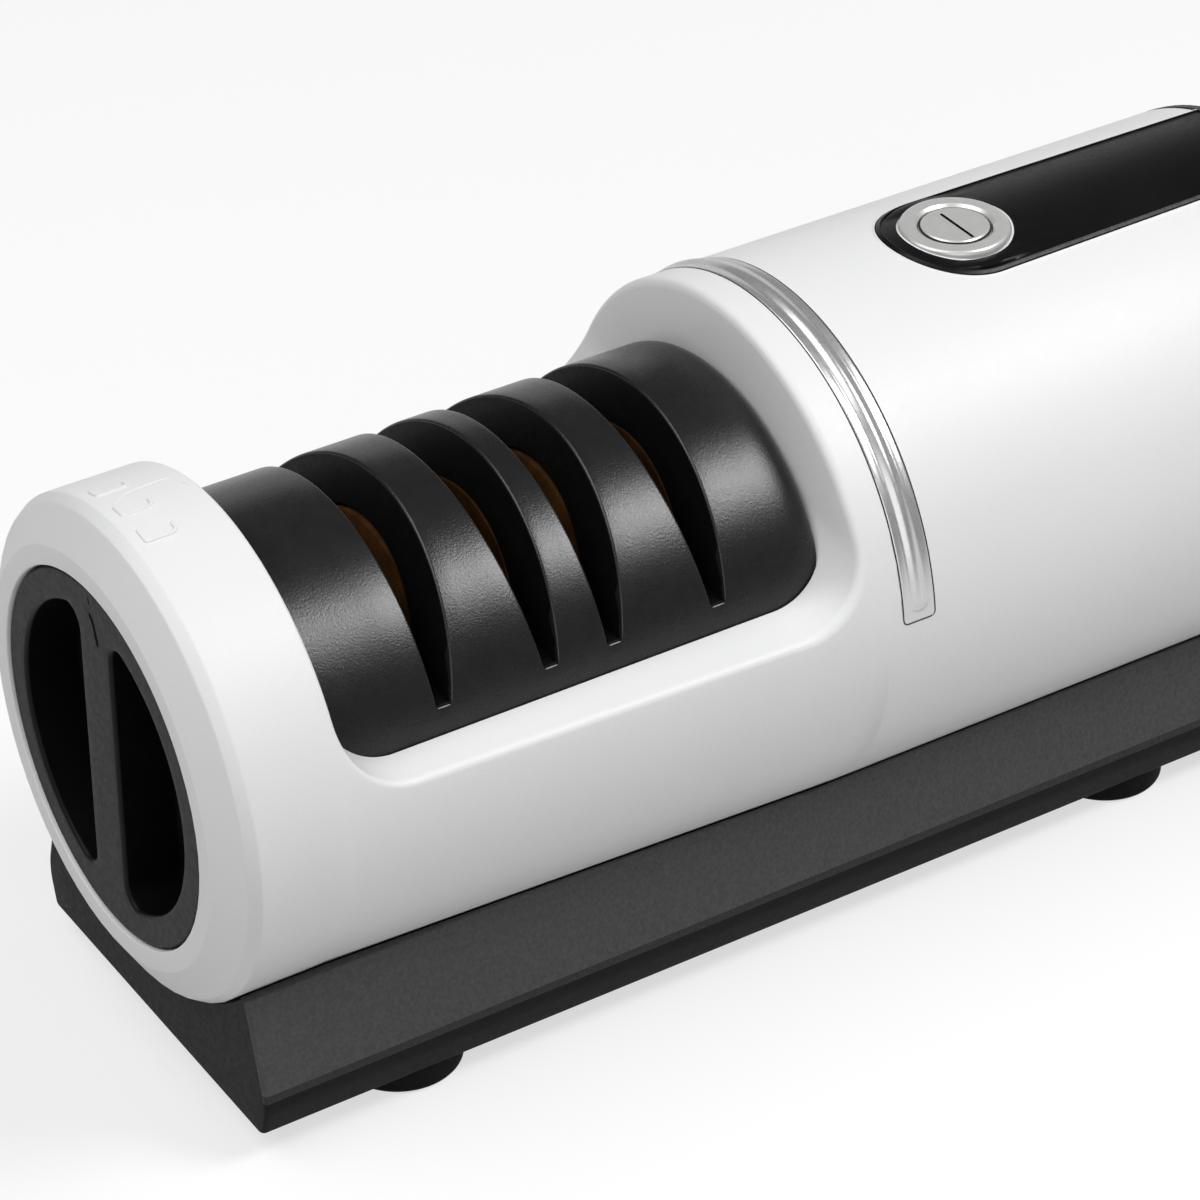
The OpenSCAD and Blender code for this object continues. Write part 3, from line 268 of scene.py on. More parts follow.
button_place = tuple(to_part([(BUTTON_X, 0.0, 0.0)])[0])
LOOK_VALUES = {
    "pearl_white": dict(colour=(0.80, 0.80, 0.80), rough=0.40, other=(0.78, 0.782, 0.786), patch=25,
                        grain=2600, bump=0.45, height=0.00010, spec=0.25),
    "cover_black": dict(colour=(0.014, 0.014, 0.015), rough=0.28, other=(0.011, 0.011, 0.012), patch=300,
                        grain=2600, bump=0.4, height=0.00010, rough_by=0.01, spec=0.5),
    "knob_black": dict(colour=(0.009, 0.009, 0.010), rough=0.45, other=(0.007, 0.007, 0.008), patch=250,
                       grain=2400, bump=0.15, height=0.00006, spec=0.12),
    "base_grey": dict(colour=(0.070, 0.070, 0.071), rough=0.52, other=(0.047, 0.047, 0.048), patch=1300,
                      grain=1300, bump=1.0, height=0.0003, rough_by=0.05, spec=0.3),
    "cap_grey": dict(colour=(0.030, 0.030, 0.032), rough=0.5, other=(0.022, 0.022, 0.024), patch=60,
                     grain=1300, bump=0.35, height=0.0001),
    "strip_black": dict(colour=(0.006, 0.006, 0.006), rough=0.34, other=(0.004, 0.004, 0.005), patch=60,
                        grain=2600, bump=0.03, height=0.00002, spec=0.2),
    "chrome": dict(colour=(0.72, 0.72, 0.72), rough=0.30, other=(0.69, 0.69, 0.69), metal=0.75, patch=200,
                   grain=3000, bump=0.02, height=0.00001, rough_by=0.03),
    "brushed_steel": dict(colour=(0.72, 0.72, 0.71), rough=0.34, other=(0.68, 0.68, 0.67), metal=0.45,
                          patch=500, grain=9000, bump=0.08, height=0.00002, rough_by=0.05,
                          rings=button_place),
    "foot_rubber": dict(colour=(0.006, 0.006, 0.006), rough=0.75, other=(0.005, 0.005, 0.005), patch=120,
                        grain=2200, bump=0.4, height=0.0001, spec=0.1),
    "abrasive": dict(colour=(0.085, 0.036, 0.010), rough=0.6, other=(0.045, 0.018, 0.005), patch=260,
                     grain=2600, bump=0.6, height=0.00012, rough_by=0.1, spec=0.08),
    "frame_plastic": dict(colour=(0.06, 0.065, 0.07), rough=0.5, grain=1500, bump=0.3, height=0.0001),
    "hub_plastic": dict(colour=(0.02, 0.02, 0.022), rough=0.45, grain=1800, bump=0.2, height=0.00008),
    "steel": dict(colour=(0.56, 0.57, 0.58), rough=0.28, other=(0.48, 0.49, 0.50), metal=1.0, patch=300,
                  grain=1500, bump=0.15, height=0.00004, stretch=(0.05, 1.0, 1.0)),
    "bronze": dict(colour=(0.45, 0.28, 0.10), rough=0.45, other=(0.36, 0.21, 0.07), metal=1.0, patch=300,
                   grain=3000, bump=0.3, height=0.00008),
    "coupling_plastic": dict(colour=(0.03, 0.09, 0.20), rough=0.45, grain=1800, bump=0.2),
    "zinc": dict(colour=(0.42, 0.43, 0.45), rough=0.42, other=(0.36, 0.37, 0.39), metal=1.0, patch=200,
                 grain=1700, bump=0.35, height=0.0001),
    "magnet": dict(colour=(0.05, 0.05, 0.055), rough=0.55, metal=0.3, grain=2600, bump=0.4),
    "winding": dict(colour=(0.42, 0.15, 0.05), rough=0.3, other=(0.30, 0.10, 0.03), metal=0.8, patch=200,
                    grain=1400, bump=0.6, height=0.0002, stretch=(1.0, 0.1, 0.1)),
    "board_green": dict(colour=(0.015, 0.09, 0.03), rough=0.4, other=(0.012, 0.07, 0.025), patch=300,
                        grain=1200, bump=0.2),
    "component": dict(colour=(0.035, 0.045, 0.08), rough=0.35, other=(0.03, 0.035, 0.06), patch=200,
                      grain=2200, bump=0.15),
    "gland_black": dict(colour=(0.014, 0.014, 0.014), rough=0.65, other=(0.010, 0.010, 0.010), patch=150,
                        grain=2400, bump=0.35, height=0.0001),
    "switch_brown": dict(colour=(0.05, 0.035, 0.025), rough=0.5, grain=2000, bump=0.2),
    "pad_brown": dict(colour=(0.052, 0.020, 0.004), rough=0.7, other=(0.022, 0.009, 0.002), patch=260,
                      grain=2600, bump=0.5, height=0.0001, rough_by=0.1, spec=0.08),
    # Light grey for the slot lips: a painted glint on the edges of the slots' floors
    "painted_glint_grey": dict(colour=(0.30, 0.30, 0.30), rough=0.3, patch=300, grain=2600, bump=0.05),
    # Darker copies of the base's grey for its turn and its lower band with the ends: painted shade
    "turn_half_shade_grey": dict(colour=(0.036, 0.036, 0.037), rough=0.5, other=(0.024, 0.024, 0.025), patch=1300,
                      grain=1500, bump=0.8, height=0.0002, spec=0.15),
    "band_painted_shade_grey": dict(colour=(0.013, 0.013, 0.014), rough=0.5, other=(0.011, 0.011, 0.012), patch=200,
                      grain=2200, bump=0.25, height=0.00008, spec=0.06),
    # Dark grey for the trim's gap and the disc's groove: painted shade
    "gap_shade_grey": dict(colour=(0.03, 0.03, 0.03), rough=0.6, grain=2000, bump=0.1, spec=0.1),
    # A darker copy of the cover's black for the slots' depths: painted shade
    "slot_painted_shade_black": dict(colour=(0.004, 0.004, 0.004), rough=0.45, other=(0.003, 0.003, 0.003), patch=300,
                       grain=2400, bump=0.3, height=0.0001, spec=0.15),
    # A darker copy of the knob's black for its recesses and stem: painted shade
    "knob_painted_shade_black": dict(colour=(0.004, 0.004, 0.004), rough=0.5, other=(0.003, 0.003, 0.003), patch=250,
                      grain=2400, bump=0.15, height=0.00006, spec=0.05),
    # Black for the strip's gap and the knob's grooves, which is painted shade, and for the disc's dark line
    "gap_shade_and_line_black": dict(colour=(0.003, 0.003, 0.003), rough=0.8, grain=2000, bump=0.1, spec=0.03),
}
LOOKS = {name: make_look(name, **values) for name, values in LOOK_VALUES.items()}


def dress_nodes():
    """Gives every carried-over CAD node the material of its slot."""
    for part in frame["record"]["subparts"]:
        obj = frame["nodes"][part["node"]]
        look = LOOKS[part["material_slot"]]
        obj.data.materials.clear()
        obj.data.materials.append(look)


# Housing


def tube_radius(x):
    """Radius of the tube's cone between the window's front and rear edges."""
    return FRONT_R + (REAR_R - FRONT_R) * min(1.0, max(0.0, (x - WINDOW_X0) / (WINDOW_X1 - WINDOW_X0)))


def on_tube(x, angle, grow=0.0):
    """A point on the tube at an angle from the top towards the near side, in radians."""
    r = tube_radius(x) + grow
    return (x, -r * math.sin(angle), AXIS_H + r * math.cos(angle))


def window_angle(h, radius):
    """Angle from the top at which the window's wall, at height h over the sill, meets a radius."""
    c, s = math.cos(SILL_TILT), math.sin(SILL_TILT)
    pivot = math.sqrt(LINING_R ** 2 - SILL_H ** 2)
    a, b = pivot + h * s, SILL_H + h * c
    half = a * c - b * s
    w = -half + math.sqrt(half ** 2 - (a * a + b * b - radius ** 2))
    return math.atan2(a + w * c, b - w * s)


def window_station(x, h, frame_x, frame_angle):
    """One station of the window's edge: (x, outer angle, inner angle, frame x, frame angle)."""
    return (x, window_angle(h, tube_radius(x)), window_angle(h, LINING_R), frame_x, frame_angle)


def window_half(end_steps=24, corner_steps=18, side_steps=48):
    """Stations along the near half of the window's edge, from the front over the sill to the rear."""
    (a0, i0), (a1, i1) = [
        (window_angle(WINDOW_CORNER, r), window_angle(WINDOW_CORNER, LINING_R)) for r in (FRONT_R, REAR_R)
    ]
    frame0, frame1 = WINDOW_X0 - SKIN_FRONT, WINDOW_X1 + SKIN_REAR
    x0, x1 = WINDOW_X0 + WINDOW_CORNER, WINDOW_X1 - WINDOW_CORNER
    out = []
    for k in range(end_steps):
        t = k / end_steps
        out.append((WINDOW_X0, a0 * t, i0 * t, frame0, a0 * t))
    for k in range(2 * corner_steps):
        f = math.radians(90 * k / (2 * corner_steps))
        if k <= corner_steps:
            fx, fa = frame0, a0 + (math.pi - a0) * k / corner_steps
        else:
            fx, fa = frame0 + (x0 - frame0) * (k - corner_steps) / corner_steps, math.pi
        x = WINDOW_X0 + WINDOW_CORNER * (1 - math.cos(f))
        out.append(window_station(x, WINDOW_CORNER * (1 - math.sin(f)), fx, fa))
    for k in range(side_steps + 1):
        x = x0 + (x1 - x0) * k / side_steps
        out.append(window_station(x, 0.0, x, math.pi))
    for k in range(1, 2 * corner_steps + 1):
        f = math.radians(90 * k / (2 * corner_steps))
        if k < corner_steps:
            fx, fa = x1 + (frame1 - x1) * k / corner_steps, math.pi
        else:
            fx, fa = frame1, math.pi - (math.pi - a1) * (k - corner_steps) / corner_steps
        x = x1 + WINDOW_CORNER * math.sin(f)
        out.append(window_station(x, WINDOW_CORNER * (1 - math.cos(f)), fx, fa))
    for k in range(1, end_steps + 1):
        t = 1 - k / end_steps
        out.append((WINDOW_X1, a1 * t, i1 * t, frame1, a1 * t))
    return out


def smooth_step(t):
    """A soft step from 0 to 1."""
    t = min(1.0, max(0.0, t))
    return t * t * (3 - 2 * t)


def window_sheets(stations):
    """The outer skin around the window, its rounded edge and its wall down to the cover."""
    flat = np.array([(x, tube_radius(x) * a) for x, a, *_ in stations])
    along = np.gradient(flat, axis=0)
    along[0], along[-1] = (0.0, 1.0), (0.0, -1.0)
    along /= np.linalg.norm(along, axis=1)[:, None]
    away = np.stack([-along[:, 1], along[:, 0]], 1)
    skin = [[] for _ in range(16)]
    edge = [[] for _ in range(9)]
    wall = [[] for _ in range(6)]
    for (x, a, inner, fx, fa), t in zip(stations, away):
        # The edge is softest at the collar and sharpest at the nose
        rear, front = smooth_step((x - 95) / 19), smooth_step((34 - x) / 16)
        soft = 1.2 + 0.5 * rear - 0.4 * front
        r = tube_radius(x)
        x0, a0 = x + soft * t[0], a + soft * t[1] / r
        for i, loop in enumerate(skin):
            k = (1 - i / (len(skin) - 1)) ** 1.3
            loop.append(on_tube(x0 + (fx - x0) * k, a0 + (fa - a0) * k))
        corner = np.array(on_tube(x, a))
        out = np.array(on_tube(x0, a0)) - corner
        lip = np.array((x, -LINING_R * math.sin(inner), AXIS_H + LINING_R * math.cos(inner)))
        down = lip - corner
        down *= min(soft, 0.8 * np.linalg.norm(down)) / np.linalg.norm(down)
        for i, loop in enumerate(edge):
            f = math.pi / 2 * i / (len(edge) - 1)
            loop.append(tuple(corner + (1 - math.sin(f)) * out + (1 - math.cos(f)) * down))
        # Past the lip the wall's sheet turns under the skin, or inwards at the collar
        start = corner + down
        inward = smooth_step((x - WINDOW_X1 + 6) / 6)
        to_lip = (lip - start) / np.linalg.norm(lip - start)
        back = (out / np.linalg.norm(out)) * (1 - inward) + to_lip * inward
        reach = 2.2 + 3.2 * inward
        for i, (u, v) in enumerate(((0, 0), (0.5, 0), (0.96, 0), (1.0, 0.05), (1.0, 0.3), (1.0, 1.0))):
            wall[i].append(tuple(start + (lip - start) * u + back * v * reach))
    return [sheet(skin), sheet(edge), sheet(wall)]


def make_housing():
    """The white tube: nose, window with its rounded edge, collar and rear tube."""
    stations = window_half()
    frame0, frame1 = stations[0][3], stations[-1][3]
    front = [s[4] for s in stations if s[3] == frame0]
    rear = [s[4] for s in stations if s[3] == frame1]
    nose = rounded([
        (33.9, 8, 0), (33.9, -NOSE, 0.3), (37.6, -NOSE, 0.7), (43.7, -3.4, 1.3),
        (FRONT_R, -1.4, 1.2), (FRONT_R, frame0, 0)
    ], 6)
    loops = [[(x, -r * math.sin(a), AXIS_H + r * math.cos(a)) for a in front] for r, x in nose]
    bore_r = 45.2
    tail = rounded([
        (REAR_R, frame1, 0), (REAR_R, TUBE_L, 0.8), (bore_r, TUBE_L, 0.4), (bore_r, TUBE_L - 6, 0)
    ], 5)
    by_button = [(REAR_R, BUTTON_X + 1.5 * k) for k in range(-7, 8)]
    tail = tail[:1] + by_button + tail[1:]
    ends = [[(x, -r * math.sin(a), AXIS_H + r * math.cos(a)) for a in rear] for r, x in tail]
    half = joined([sheet(loops), sheet(ends)] + window_sheets(stations))
    face_x = WINDOW_X1 + 0.04
    face = lathe_x([(31.0, face_x), (LINING_R - 0.02, face_x)], AXIS_H, (-88, 88), 88)
    whole = part_by(
        joined([half, mirrored(half), face]),
        lambda c: c[2] < AXIS_H or math.hypot(c[0] - BUTTON_X, c[1]) > BUTTON_HOLE
    )
    build("housing_shell", whole, LOOKS["pearl_white"],
          replaces=["housing"], sharp=40, inside=(120, 0, AXIS_H))


def ridge(path, width, height):
    """A raised rounded line on the tube along a path of (x, angle in degrees)."""
    step = 0.4
    unit = FRONT_R * math.pi / 180
    points = [np.array(p, float) for p in path]
    fine = []
    for a, b in zip(points[:-1], points[1:]):
        n = max(2, int(np.linalg.norm((b - a) * (1, unit)) / step))
        fine += [a + (b - a) * k / n for k in range(n)]
    fine.append(points[-1])
    flat = np.array([(p[0], p[1] * unit) for p in fine])
    along = np.gradient(flat, axis=0)
    along /= np.linalg.norm(along, axis=1)[:, None]
    side = np.stack([-along[:, 1], along[:, 0]], 1)
    loops = []
    for k, (p, s) in enumerate(zip(flat, side)):
        end = min(k, len(flat) - 1 - k) / 1.5
        lift = height * min(1.0, end) if end < 1 else height
        row = []
        for u in np.linspace(-1, 1, 9):
            q = p + s * u * width / 2
            up = lift * math.sqrt(max(0, 1 - u ** 4)) - 0.02
            row.append(on_tube(q[0], math.radians(q[1] / unit), up))
        loops.append(row)
    return sheet(loops)


def make_marks():
    """Three raised position marks on the nose, fine lines bent at both ends, and a faint line round them."""
    parts = []
    for a in (-13.2, -1.7, 8.7):
        path = rounded([(0.9, a - 4.4, 0), (0.9, a, 0.15), (6.7, a, 1.5), (6.7, a - 3.4, 0)], 5)
        parts.append(ridge(path, 0.72, 0.32))
    field = rounded([(1.3, -6.6, 0), (4.4, -10.3, 2.0), (13.4, -11.3, 2.2), (14.7, -3.4, 0)], 6)
    parts.append(ridge(field, 0.45, 0.10))
    build("position_marks", joined(parts), LOOKS["pearl_white"], inside=(5, 0, AXIS_H))


# Trim, strip and button


def trim_height(v, w, left):
    """Height of the trim's face at v across its half width w, left away from its nearer end."""
    bead_end, bead_half, valley_at, soft = 3.8, 1.35, 1.65, 0.35
    far = math.hypot(v, max(0.0, bead_end - left))
    bead = 0.5 * math.cos(math.pi / 2 * far / bead_half) ** 1.2 if far < bead_half else 0.0
    valley = -0.10 * math.exp(-((far - valley_at) / soft) ** 2)
    side = min(w - abs(v), left)
    edge = -soft * (1 - min(1.0, side / soft)) ** 2
    return 0.16 + bead + valley + edge


def half_width(half, left, corner):
    """Half width of a band with rounded corners, left away from its end."""
    short = max(0.0, corner - left)
    return half - corner + math.sqrt(max(0.0, corner ** 2 - short ** 2))


def make_trim():
    """The metal trim: flat flanges and a raised bead that ends round before the trim's ends."""
    x0, width, reach, under, gap_width = 123.0, 6.6, math.radians(83), -0.7, 0.12
    middle, half = x0 + width / 2, width / 2
    length, end = REAR_R * reach, 5
    stops = [length - end + end * t for t in np.linspace(0, 1, 30)]
    stops = list(np.linspace(0, length - end, 100))[:-1] + stops
    stops = [-s for s in stops[:0:-1]] + stops
    across = [math.copysign(abs(u) ** 0.85, u) for u in np.linspace(-1, 1, 41)]
    loops = []
    for s in stops:
        left = length - abs(s)
        w = half_width(half, left, 1.0)
        row = [on_tube(middle - w, s / REAR_R, under)]
        row += [on_tube(middle + u * w, s / REAR_R, trim_height(u * w, w, left)) for u in across]
        row.append(on_tube(middle + w, s / REAR_R, under))
        loops.append(row)
    ends = [
        sheet([loop, [on_tube(middle, side * reach, under)] * len(loop)])
        for loop, side in ((loops[0], -1), (loops[-1], 1))
    ]
    build("chrome_band", joined([sheet(loops)] + ends), LOOKS["chrome"], replaces=["chrome_trim"],
          sharp=60, inside=(middle, 0, AXIS_H))
    # A dark grey sheet round the trim: painted shade in the gap between the trim and the housing
    gap = []
    for s in stops:
        s *= 1 + gap_width / length
        w = half_width(half + gap_width, length + gap_width - abs(s), 1.1)
        gap.append([on_tube(middle + u * w, s / REAR_R, 0.02) for u in np.linspace(-1, 1, 9)])
    build("trim_gap", sheet(gap), LOOKS["gap_shade_grey"], inside=(middle, 0, AXIS_H))


STRIP_HALF, STRIP_REAR = 14.05, 13.05


def strip_loop(g, n_round=64, n_side=40, n_end=12):
    """The strip's outline drawn in by g, as (x, y) stations."""
    loop = []
    for k in range(n_round + 1):
        a = math.pi / 2 + math.pi * k / n_round
        loop.append((BUTTON_X + (STRIP_HALF - g) * math.cos(a), (STRIP_HALF - g) * math.sin(a)))
    end = TUBE_L - g
    side = []
    for k in range(1, n_side + 1):
        x = BUTTON_X + (end - BUTTON_X) * (k / n_side)
        side.append((x, STRIP_HALF + (STRIP_REAR - STRIP_HALF) * (x - BUTTON_X) / (TUBE_L - BUTTON_X) - g))
    half = side[-1][1]
    loop += [(x, -y) for x, y in side]
    loop += [(end, -half + 2 * half * k / n_end) for k in range(1, n_end)]
    return loop + side[::-1]


def over_tube(x, y, grow):
    """A point over (x, y) at a radius that is the rear tube's plus grow."""
    r = REAR_R + grow
    return (x, y, AXIS_H + math.sqrt(r * r - y * y))


def make_strip():
    """The black strip with its raised rim, open under the bezel, the gap round it as a black sheet of painted
    shade, and the housing's lip.
    """
    rows = ((0.0, -1.2), (0.0, 0.1), (0.1, 0.2), (0.45, 0.24), (0.55, 0.38), (0.68, 0.42), (0.82, 0.38),
            (0.92, 0.12), (1.2, 0.08))
    loops = [[over_tube(x, y, up) for x, y in strip_loop(g)] for g, up in rows]
    inner, level, skirt = strip_loop(1.2), 0.08, 1.2
    hole = BEZEL_D / 2 + 0.4
    # The strip is level round the bezel and follows the tube further out
    for k in range(1, 13):
        t = k / 12
        row = []
        for x, y in inner:
            a = math.atan2(y, x - BUTTON_X)
            hx, hy = BUTTON_X + hole * math.cos(a), hole * math.sin(a)
            px, py, pz = over_tube(x + (hx - x) * t, y + (hy - y) * t, level)
            near = smooth_step((15.2 - math.hypot(px - BUTTON_X, py)) / 4.4)
            row.append((px, py, pz + near * max(0.0, TOP_Z - 0.8 - pz)))
        loops.append(row)
    loops.append([(x, y, z - skirt) for x, y, z in loops[-1]])
    build("strip_skin", sheet(loops, closed=True), LOOKS["strip_black"],
          replaces=["strip_panel"], sharp=50, inside=(200, 0, AXIS_H))
    # A black sheet round the strip: painted shade in the gap between the strip and the housing
    gap = [[over_tube(x, y, 0.03) for x, y in strip_loop(g)] for g in (-0.16, 0.4)]
    build("strip_gap", sheet(gap, closed=True), LOOKS["gap_shade_and_line_black"], inside=(200, 0, AXIS_H))
    lip = [
        [(min(x, TUBE_L - 0.05), y, z) for x, y, z in (over_tube(x, y, up) for x, y in strip_loop(g))]
        for g, up in ((-0.16, 0.0), (-0.2, 0.1), (-0.34, 0.15), (-0.52, 0.1), (-0.7, -0.02))
    ]
    build("strip_lip", sheet(lip, closed=True), LOOKS["pearl_white"], inside=(200, 0, AXIS_H))


def make_bezel():
    """The button's bezel: a low flat ring with a soft outer edge and a chamfer round the disc."""
    outer, bore, barrel_r = BEZEL_D / 2, PRESS_D / 2 + 0.15, 7.8
    top, seat, low = TOP_Z + 0.6, TOP_Z - 1.4, TOP_Z - 9.5
    profile = rounded([
        (bore, low, 0), (bore, top - 0.5, 0.05), (bore + 0.6, top, 0.15), (outer, top, 0.8),
        (outer, seat, 0), (barrel_r, seat, 0), (barrel_r, low, 0), (bore, low, 0)
    ], 6)
    build("bezel_ring", lathe_z(profile, BUTTON_X), LOOKS["brushed_steel"],
          replaces=["button_bezel"], sharp=50)


def make_disc():
    """The pressed disc: flat with a bevelled edge and one dark line, on its stem; its groove is a dark grey
    ring on the bevel, painted shade.
    """
    r, stem_r = PRESS_D / 2, 2.2
    top, under, low = TOP_Z + 0.5, TOP_Z + 0.5 - 3.4, TOP_Z - 10.2
    profile = rounded([
        (0.0, top, 0), (r - 0.75, top, 0.12), (r - 0.05, top - 0.5, 0.12), (r, under, 0),
        (stem_r, under, 0), (stem_r, low, 0), (0.0, low, 0)
    ], 5)
    build("press_disc", lathe_z(profile, BUTTON_X), LOOKS["brushed_steel"], body="button",
          replaces=["button_disc"], sharp=50)
    line, y0, y1 = [], -5.5, 4.4
    for y in np.linspace(y0, y1, 40):
        w = 0.30 * min(1.0, (min(y - y0, y1 - y) + 0.05) / 0.3)
        line.append([(BUTTON_X + v * w, y, top + 0.012) for v in (-1, 0, 1)])
    build("press_line", sheet(line), LOOKS["gap_shade_and_line_black"], body="button",
          inside=(BUTTON_X, 0, top - 5))
    # The groove is a dark grey ring sheet: painted shade in place of a cut groove
    groove = [(r - 0.42, top - 0.20), (r - 0.07, top - 0.47)]
    build("press_groove", lathe_z(groove, BUTTON_X), LOOKS["gap_shade_grey"], body="button",
          inside=(BUTTON_X, 0, top - 5))


def make_spring():
    """The button's return spring, one round wire along a helix under the disc."""
    low, high = (np.array(corner) * 1000 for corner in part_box("button_spring"))
    wire, turns, steps, around = 0.5, 3, 32, 10
    radius = (high[0] - low[0]) / 2 - wire
    z0, z1 = low[2] - FOOT_H + wire, high[2] - FOOT_H - wire - 0.2
    loops = []
    for i in range(turns * steps + 1):
        a, z = 2 * math.pi * i / steps, z0 + (z1 - z0) * i / (turns * steps)
        loop = []
        for t in np.linspace(0, 2 * math.pi, around, endpoint=False):
            r = radius + wire * math.cos(t)
            loop.append((BUTTON_X + r * math.cos(a), r * math.sin(a), z + wire * math.sin(t)))
        loops.append(loop)
    ends = [
        sheet([loop, [tuple(np.mean(loop, axis=0))] * around], closed=True) for loop in (loops[0], loops[-1])
    ]
    spring = build("return_spring", joined([sheet(loops, closed=True)] + ends), LOOKS["steel"],
                   replaces=["button_spring"], sharp=60)
    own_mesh(spring)


# Knob

KNOB_FACE = -NOSE + 0.5
KNOB_DEPTH = 11.0
KNOB_R = 33.5
KNOB_BORE = 31.1
RECESS_Y = 14.0


def recess_path(n_arc=40, corner=3.4, inner=5.3, radius=27.8, g=0.0):
    """The near finger recess as a closed path of (y, z), grown by g: a round segment with soft corners."""
    r, b, c = radius + g, inner - g, max(0.4, corner + g)
    cy = b + c
    cz = math.sqrt((r - c) ** 2 - cy ** 2)
    lean = math.atan2(cz, cy)
    path = []
    for k in range(n_arc + 1):
        a = -lean + 2 * lean * k / n_arc
        path.append((r * math.cos(a), r * math.sin(a)))
    for k in range(1, 13):
        a = lean + (math.pi - lean) * k / 12
        path.append((cy + c * math.cos(a), cz + c * math.sin(a)))
    for k in range(1, 25):
        path.append((b, cz - 2 * cz * k / 25))
    for k in range(0, 12):
        a = math.pi + (math.pi - lean) * k / 12
        path.append((cy + c * math.cos(a), -cz + c * math.sin(a)))
    return path


def half_disc_at(angle, radius):
    """Where a ray from the recess's middle meets the edge of the knob's half disc."""
    dy, dz = math.cos(angle), math.sin(angle)
    if dy < -1e-9 and abs(-RECESS_Y / dy * dz) <= radius:
        return 0.0, -RECESS_Y / dy * dz
    b = RECESS_Y * dy
    far = -b + math.sqrt(b * b - RECESS_Y ** 2 + radius ** 2)
    return RECESS_Y + far * dy, far * dz


def recess_edge(radius):
    """The half disc's edge seen from the recess, with its two corners kept."""
    edge = [half_disc_at(math.atan2(z, y - RECESS_Y), radius) for y, z in recess_path()]
    for z in (-radius, radius):
        near = min(range(len(edge)), key=lambda i: math.hypot(edge[i][0], edge[i][1] - z))
        edge[near] = (0.0, z)
    return edge


def recess_sheet(edge, lip=0.7, foot=1.2, draft=0.012):
    """The knob's flat face round one recess, the recess's rounded lip, its wall and its floor."""
    loops = []
    for t in (1.0, 0.66, 0.33):
        loops.append([
            (KNOB_FACE, sy + (ey - sy) * t, AXIS_H + sz + (ez - sz) * t)
            for (sy, sz), (ey, ez) in zip(recess_path(g=lip), edge)
        ])
    for k in range(7):
        f = math.pi / 2 * k / 6
        row = recess_path(g=lip * (1 - math.sin(f)))
        loops.append([(KNOB_FACE + lip * (1 - math.cos(f)), y, AXIS_H + z) for y, z in row])
    for drop in (3, 6, 9, KNOB_DEPTH - foot):
        loops.append([(KNOB_FACE + drop, y, AXIS_H + z) for y, z in recess_path(g=-draft * drop)])
    for k in range(1, 6):
        f = math.pi / 2 * k / 5
        row = recess_path(g=-0.12 - foot * (1 - math.cos(f)))
        loops.append([(KNOB_FACE + KNOB_DEPTH - foot + foot * math.sin(f), y, AXIS_H + z) for y, z in row])
    middle = np.array((KNOB_FACE + KNOB_DEPTH, RECESS_Y, AXIS_H))
    for t in (0.5, 0.0):
        loops.append([tuple(middle + (np.array(p) - middle) * t) for p in loops[-1]])
    return sheet(loops, closed=True)


def make_knob():
    """The knob: a flat face with a soft edge and two deep finger recesses, on its stem; the recesses and the
    stem get a darker black than the face as painted shade.
    """
    flat_r, back = KNOB_R - 1.0, KNOB_FACE + 13.4
    edge = recess_edge(flat_r)
    rim = sorted(math.atan2(z, y) for y, z in edge if math.hypot(y, z) > flat_r - 1e-6)
    profile = rounded([
        (flat_r, KNOB_FACE, 0), (KNOB_R, KNOB_FACE, 0.9), (KNOB_R, back, 0.4), (KNOB_BORE, back, 0)
    ], 6)
    outer = [[(x, r * math.cos(a), AXIS_H + r * math.sin(a)) for a in rim] for r, x in profile]
    half = joined([recess_sheet(edge), sheet(outer)])
    whole = joined([half, mirrored(half)])
    # Faces more than 1.2 mm behind the face take the darker black: painted shade in the recesses
    deep = KNOB_FACE + 1.2
    for name, part, look in (
        ("knob_cap", part_by(whole, lambda c: c[0] < deep), "knob_black"),
        ("knob_recess", part_by(whole, lambda c: c[0] >= deep), "knob_painted_shade_black"),
    ):
        build(name, part, LOOKS[look], body="knob", replaces=["front_knob"], sharp=40)
    plate, hub, pin = (5.7, 6.9), (6.0, 15.5), (3.0, 21.0)
    stem = lathe_x([
        (KNOB_BORE, plate[1]), (KNOB_BORE, plate[0]), (hub[0], plate[0]), hub,
        (pin[0], hub[1]), pin, (0, pin[1])
    ], AXIS_H)
    build("knob_stem", stem, LOOKS["knob_painted_shade_black"], body="knob", sharp=40)


def make_knob_marks():
    """The knob's curved pointer groove and the small tick over it, drawn flat as thin dark lines: painted
    shade in place of cut grooves.
    """
    face = KNOB_FACE - 0.015
    parts = []
    for path, width in (
        ([(0.75, 28.6), (0.1, 27.9), (-0.45, 26.8), (-0.9, 25.4), (-1.3, 23.8)], 0.95),
        ([(1.05, 31.8), (0.95, 31.3), (0.8, 30.8)], 0.35),
    ):
        path = np.array(path)
        along = np.gradient(path, axis=0)
        along /= np.linalg.norm(along, axis=1)[:, None]
        first, last = path[0] - along[0] * width / 2, path[-1] + along[-1] * width / 2
        rows = [(first, along[0], 0.05), (last, along[-1], 0.05)]
        rows[1:1] = [(q, t, width) for q, t in zip(path, along)]
        parts.append(sheet([
            [(face, q[0] - t[1] * w * u / 2, AXIS_H + q[1] + t[0] * w * u / 2) for u in (-1, 0, 1)]
            for q, t, w in rows
        ]))
    build("knob_marks", joined(parts), LOOKS["gap_shade_and_line_black"], body="knob", inside=(10, 0, AXIS_H))


# Slotted cover

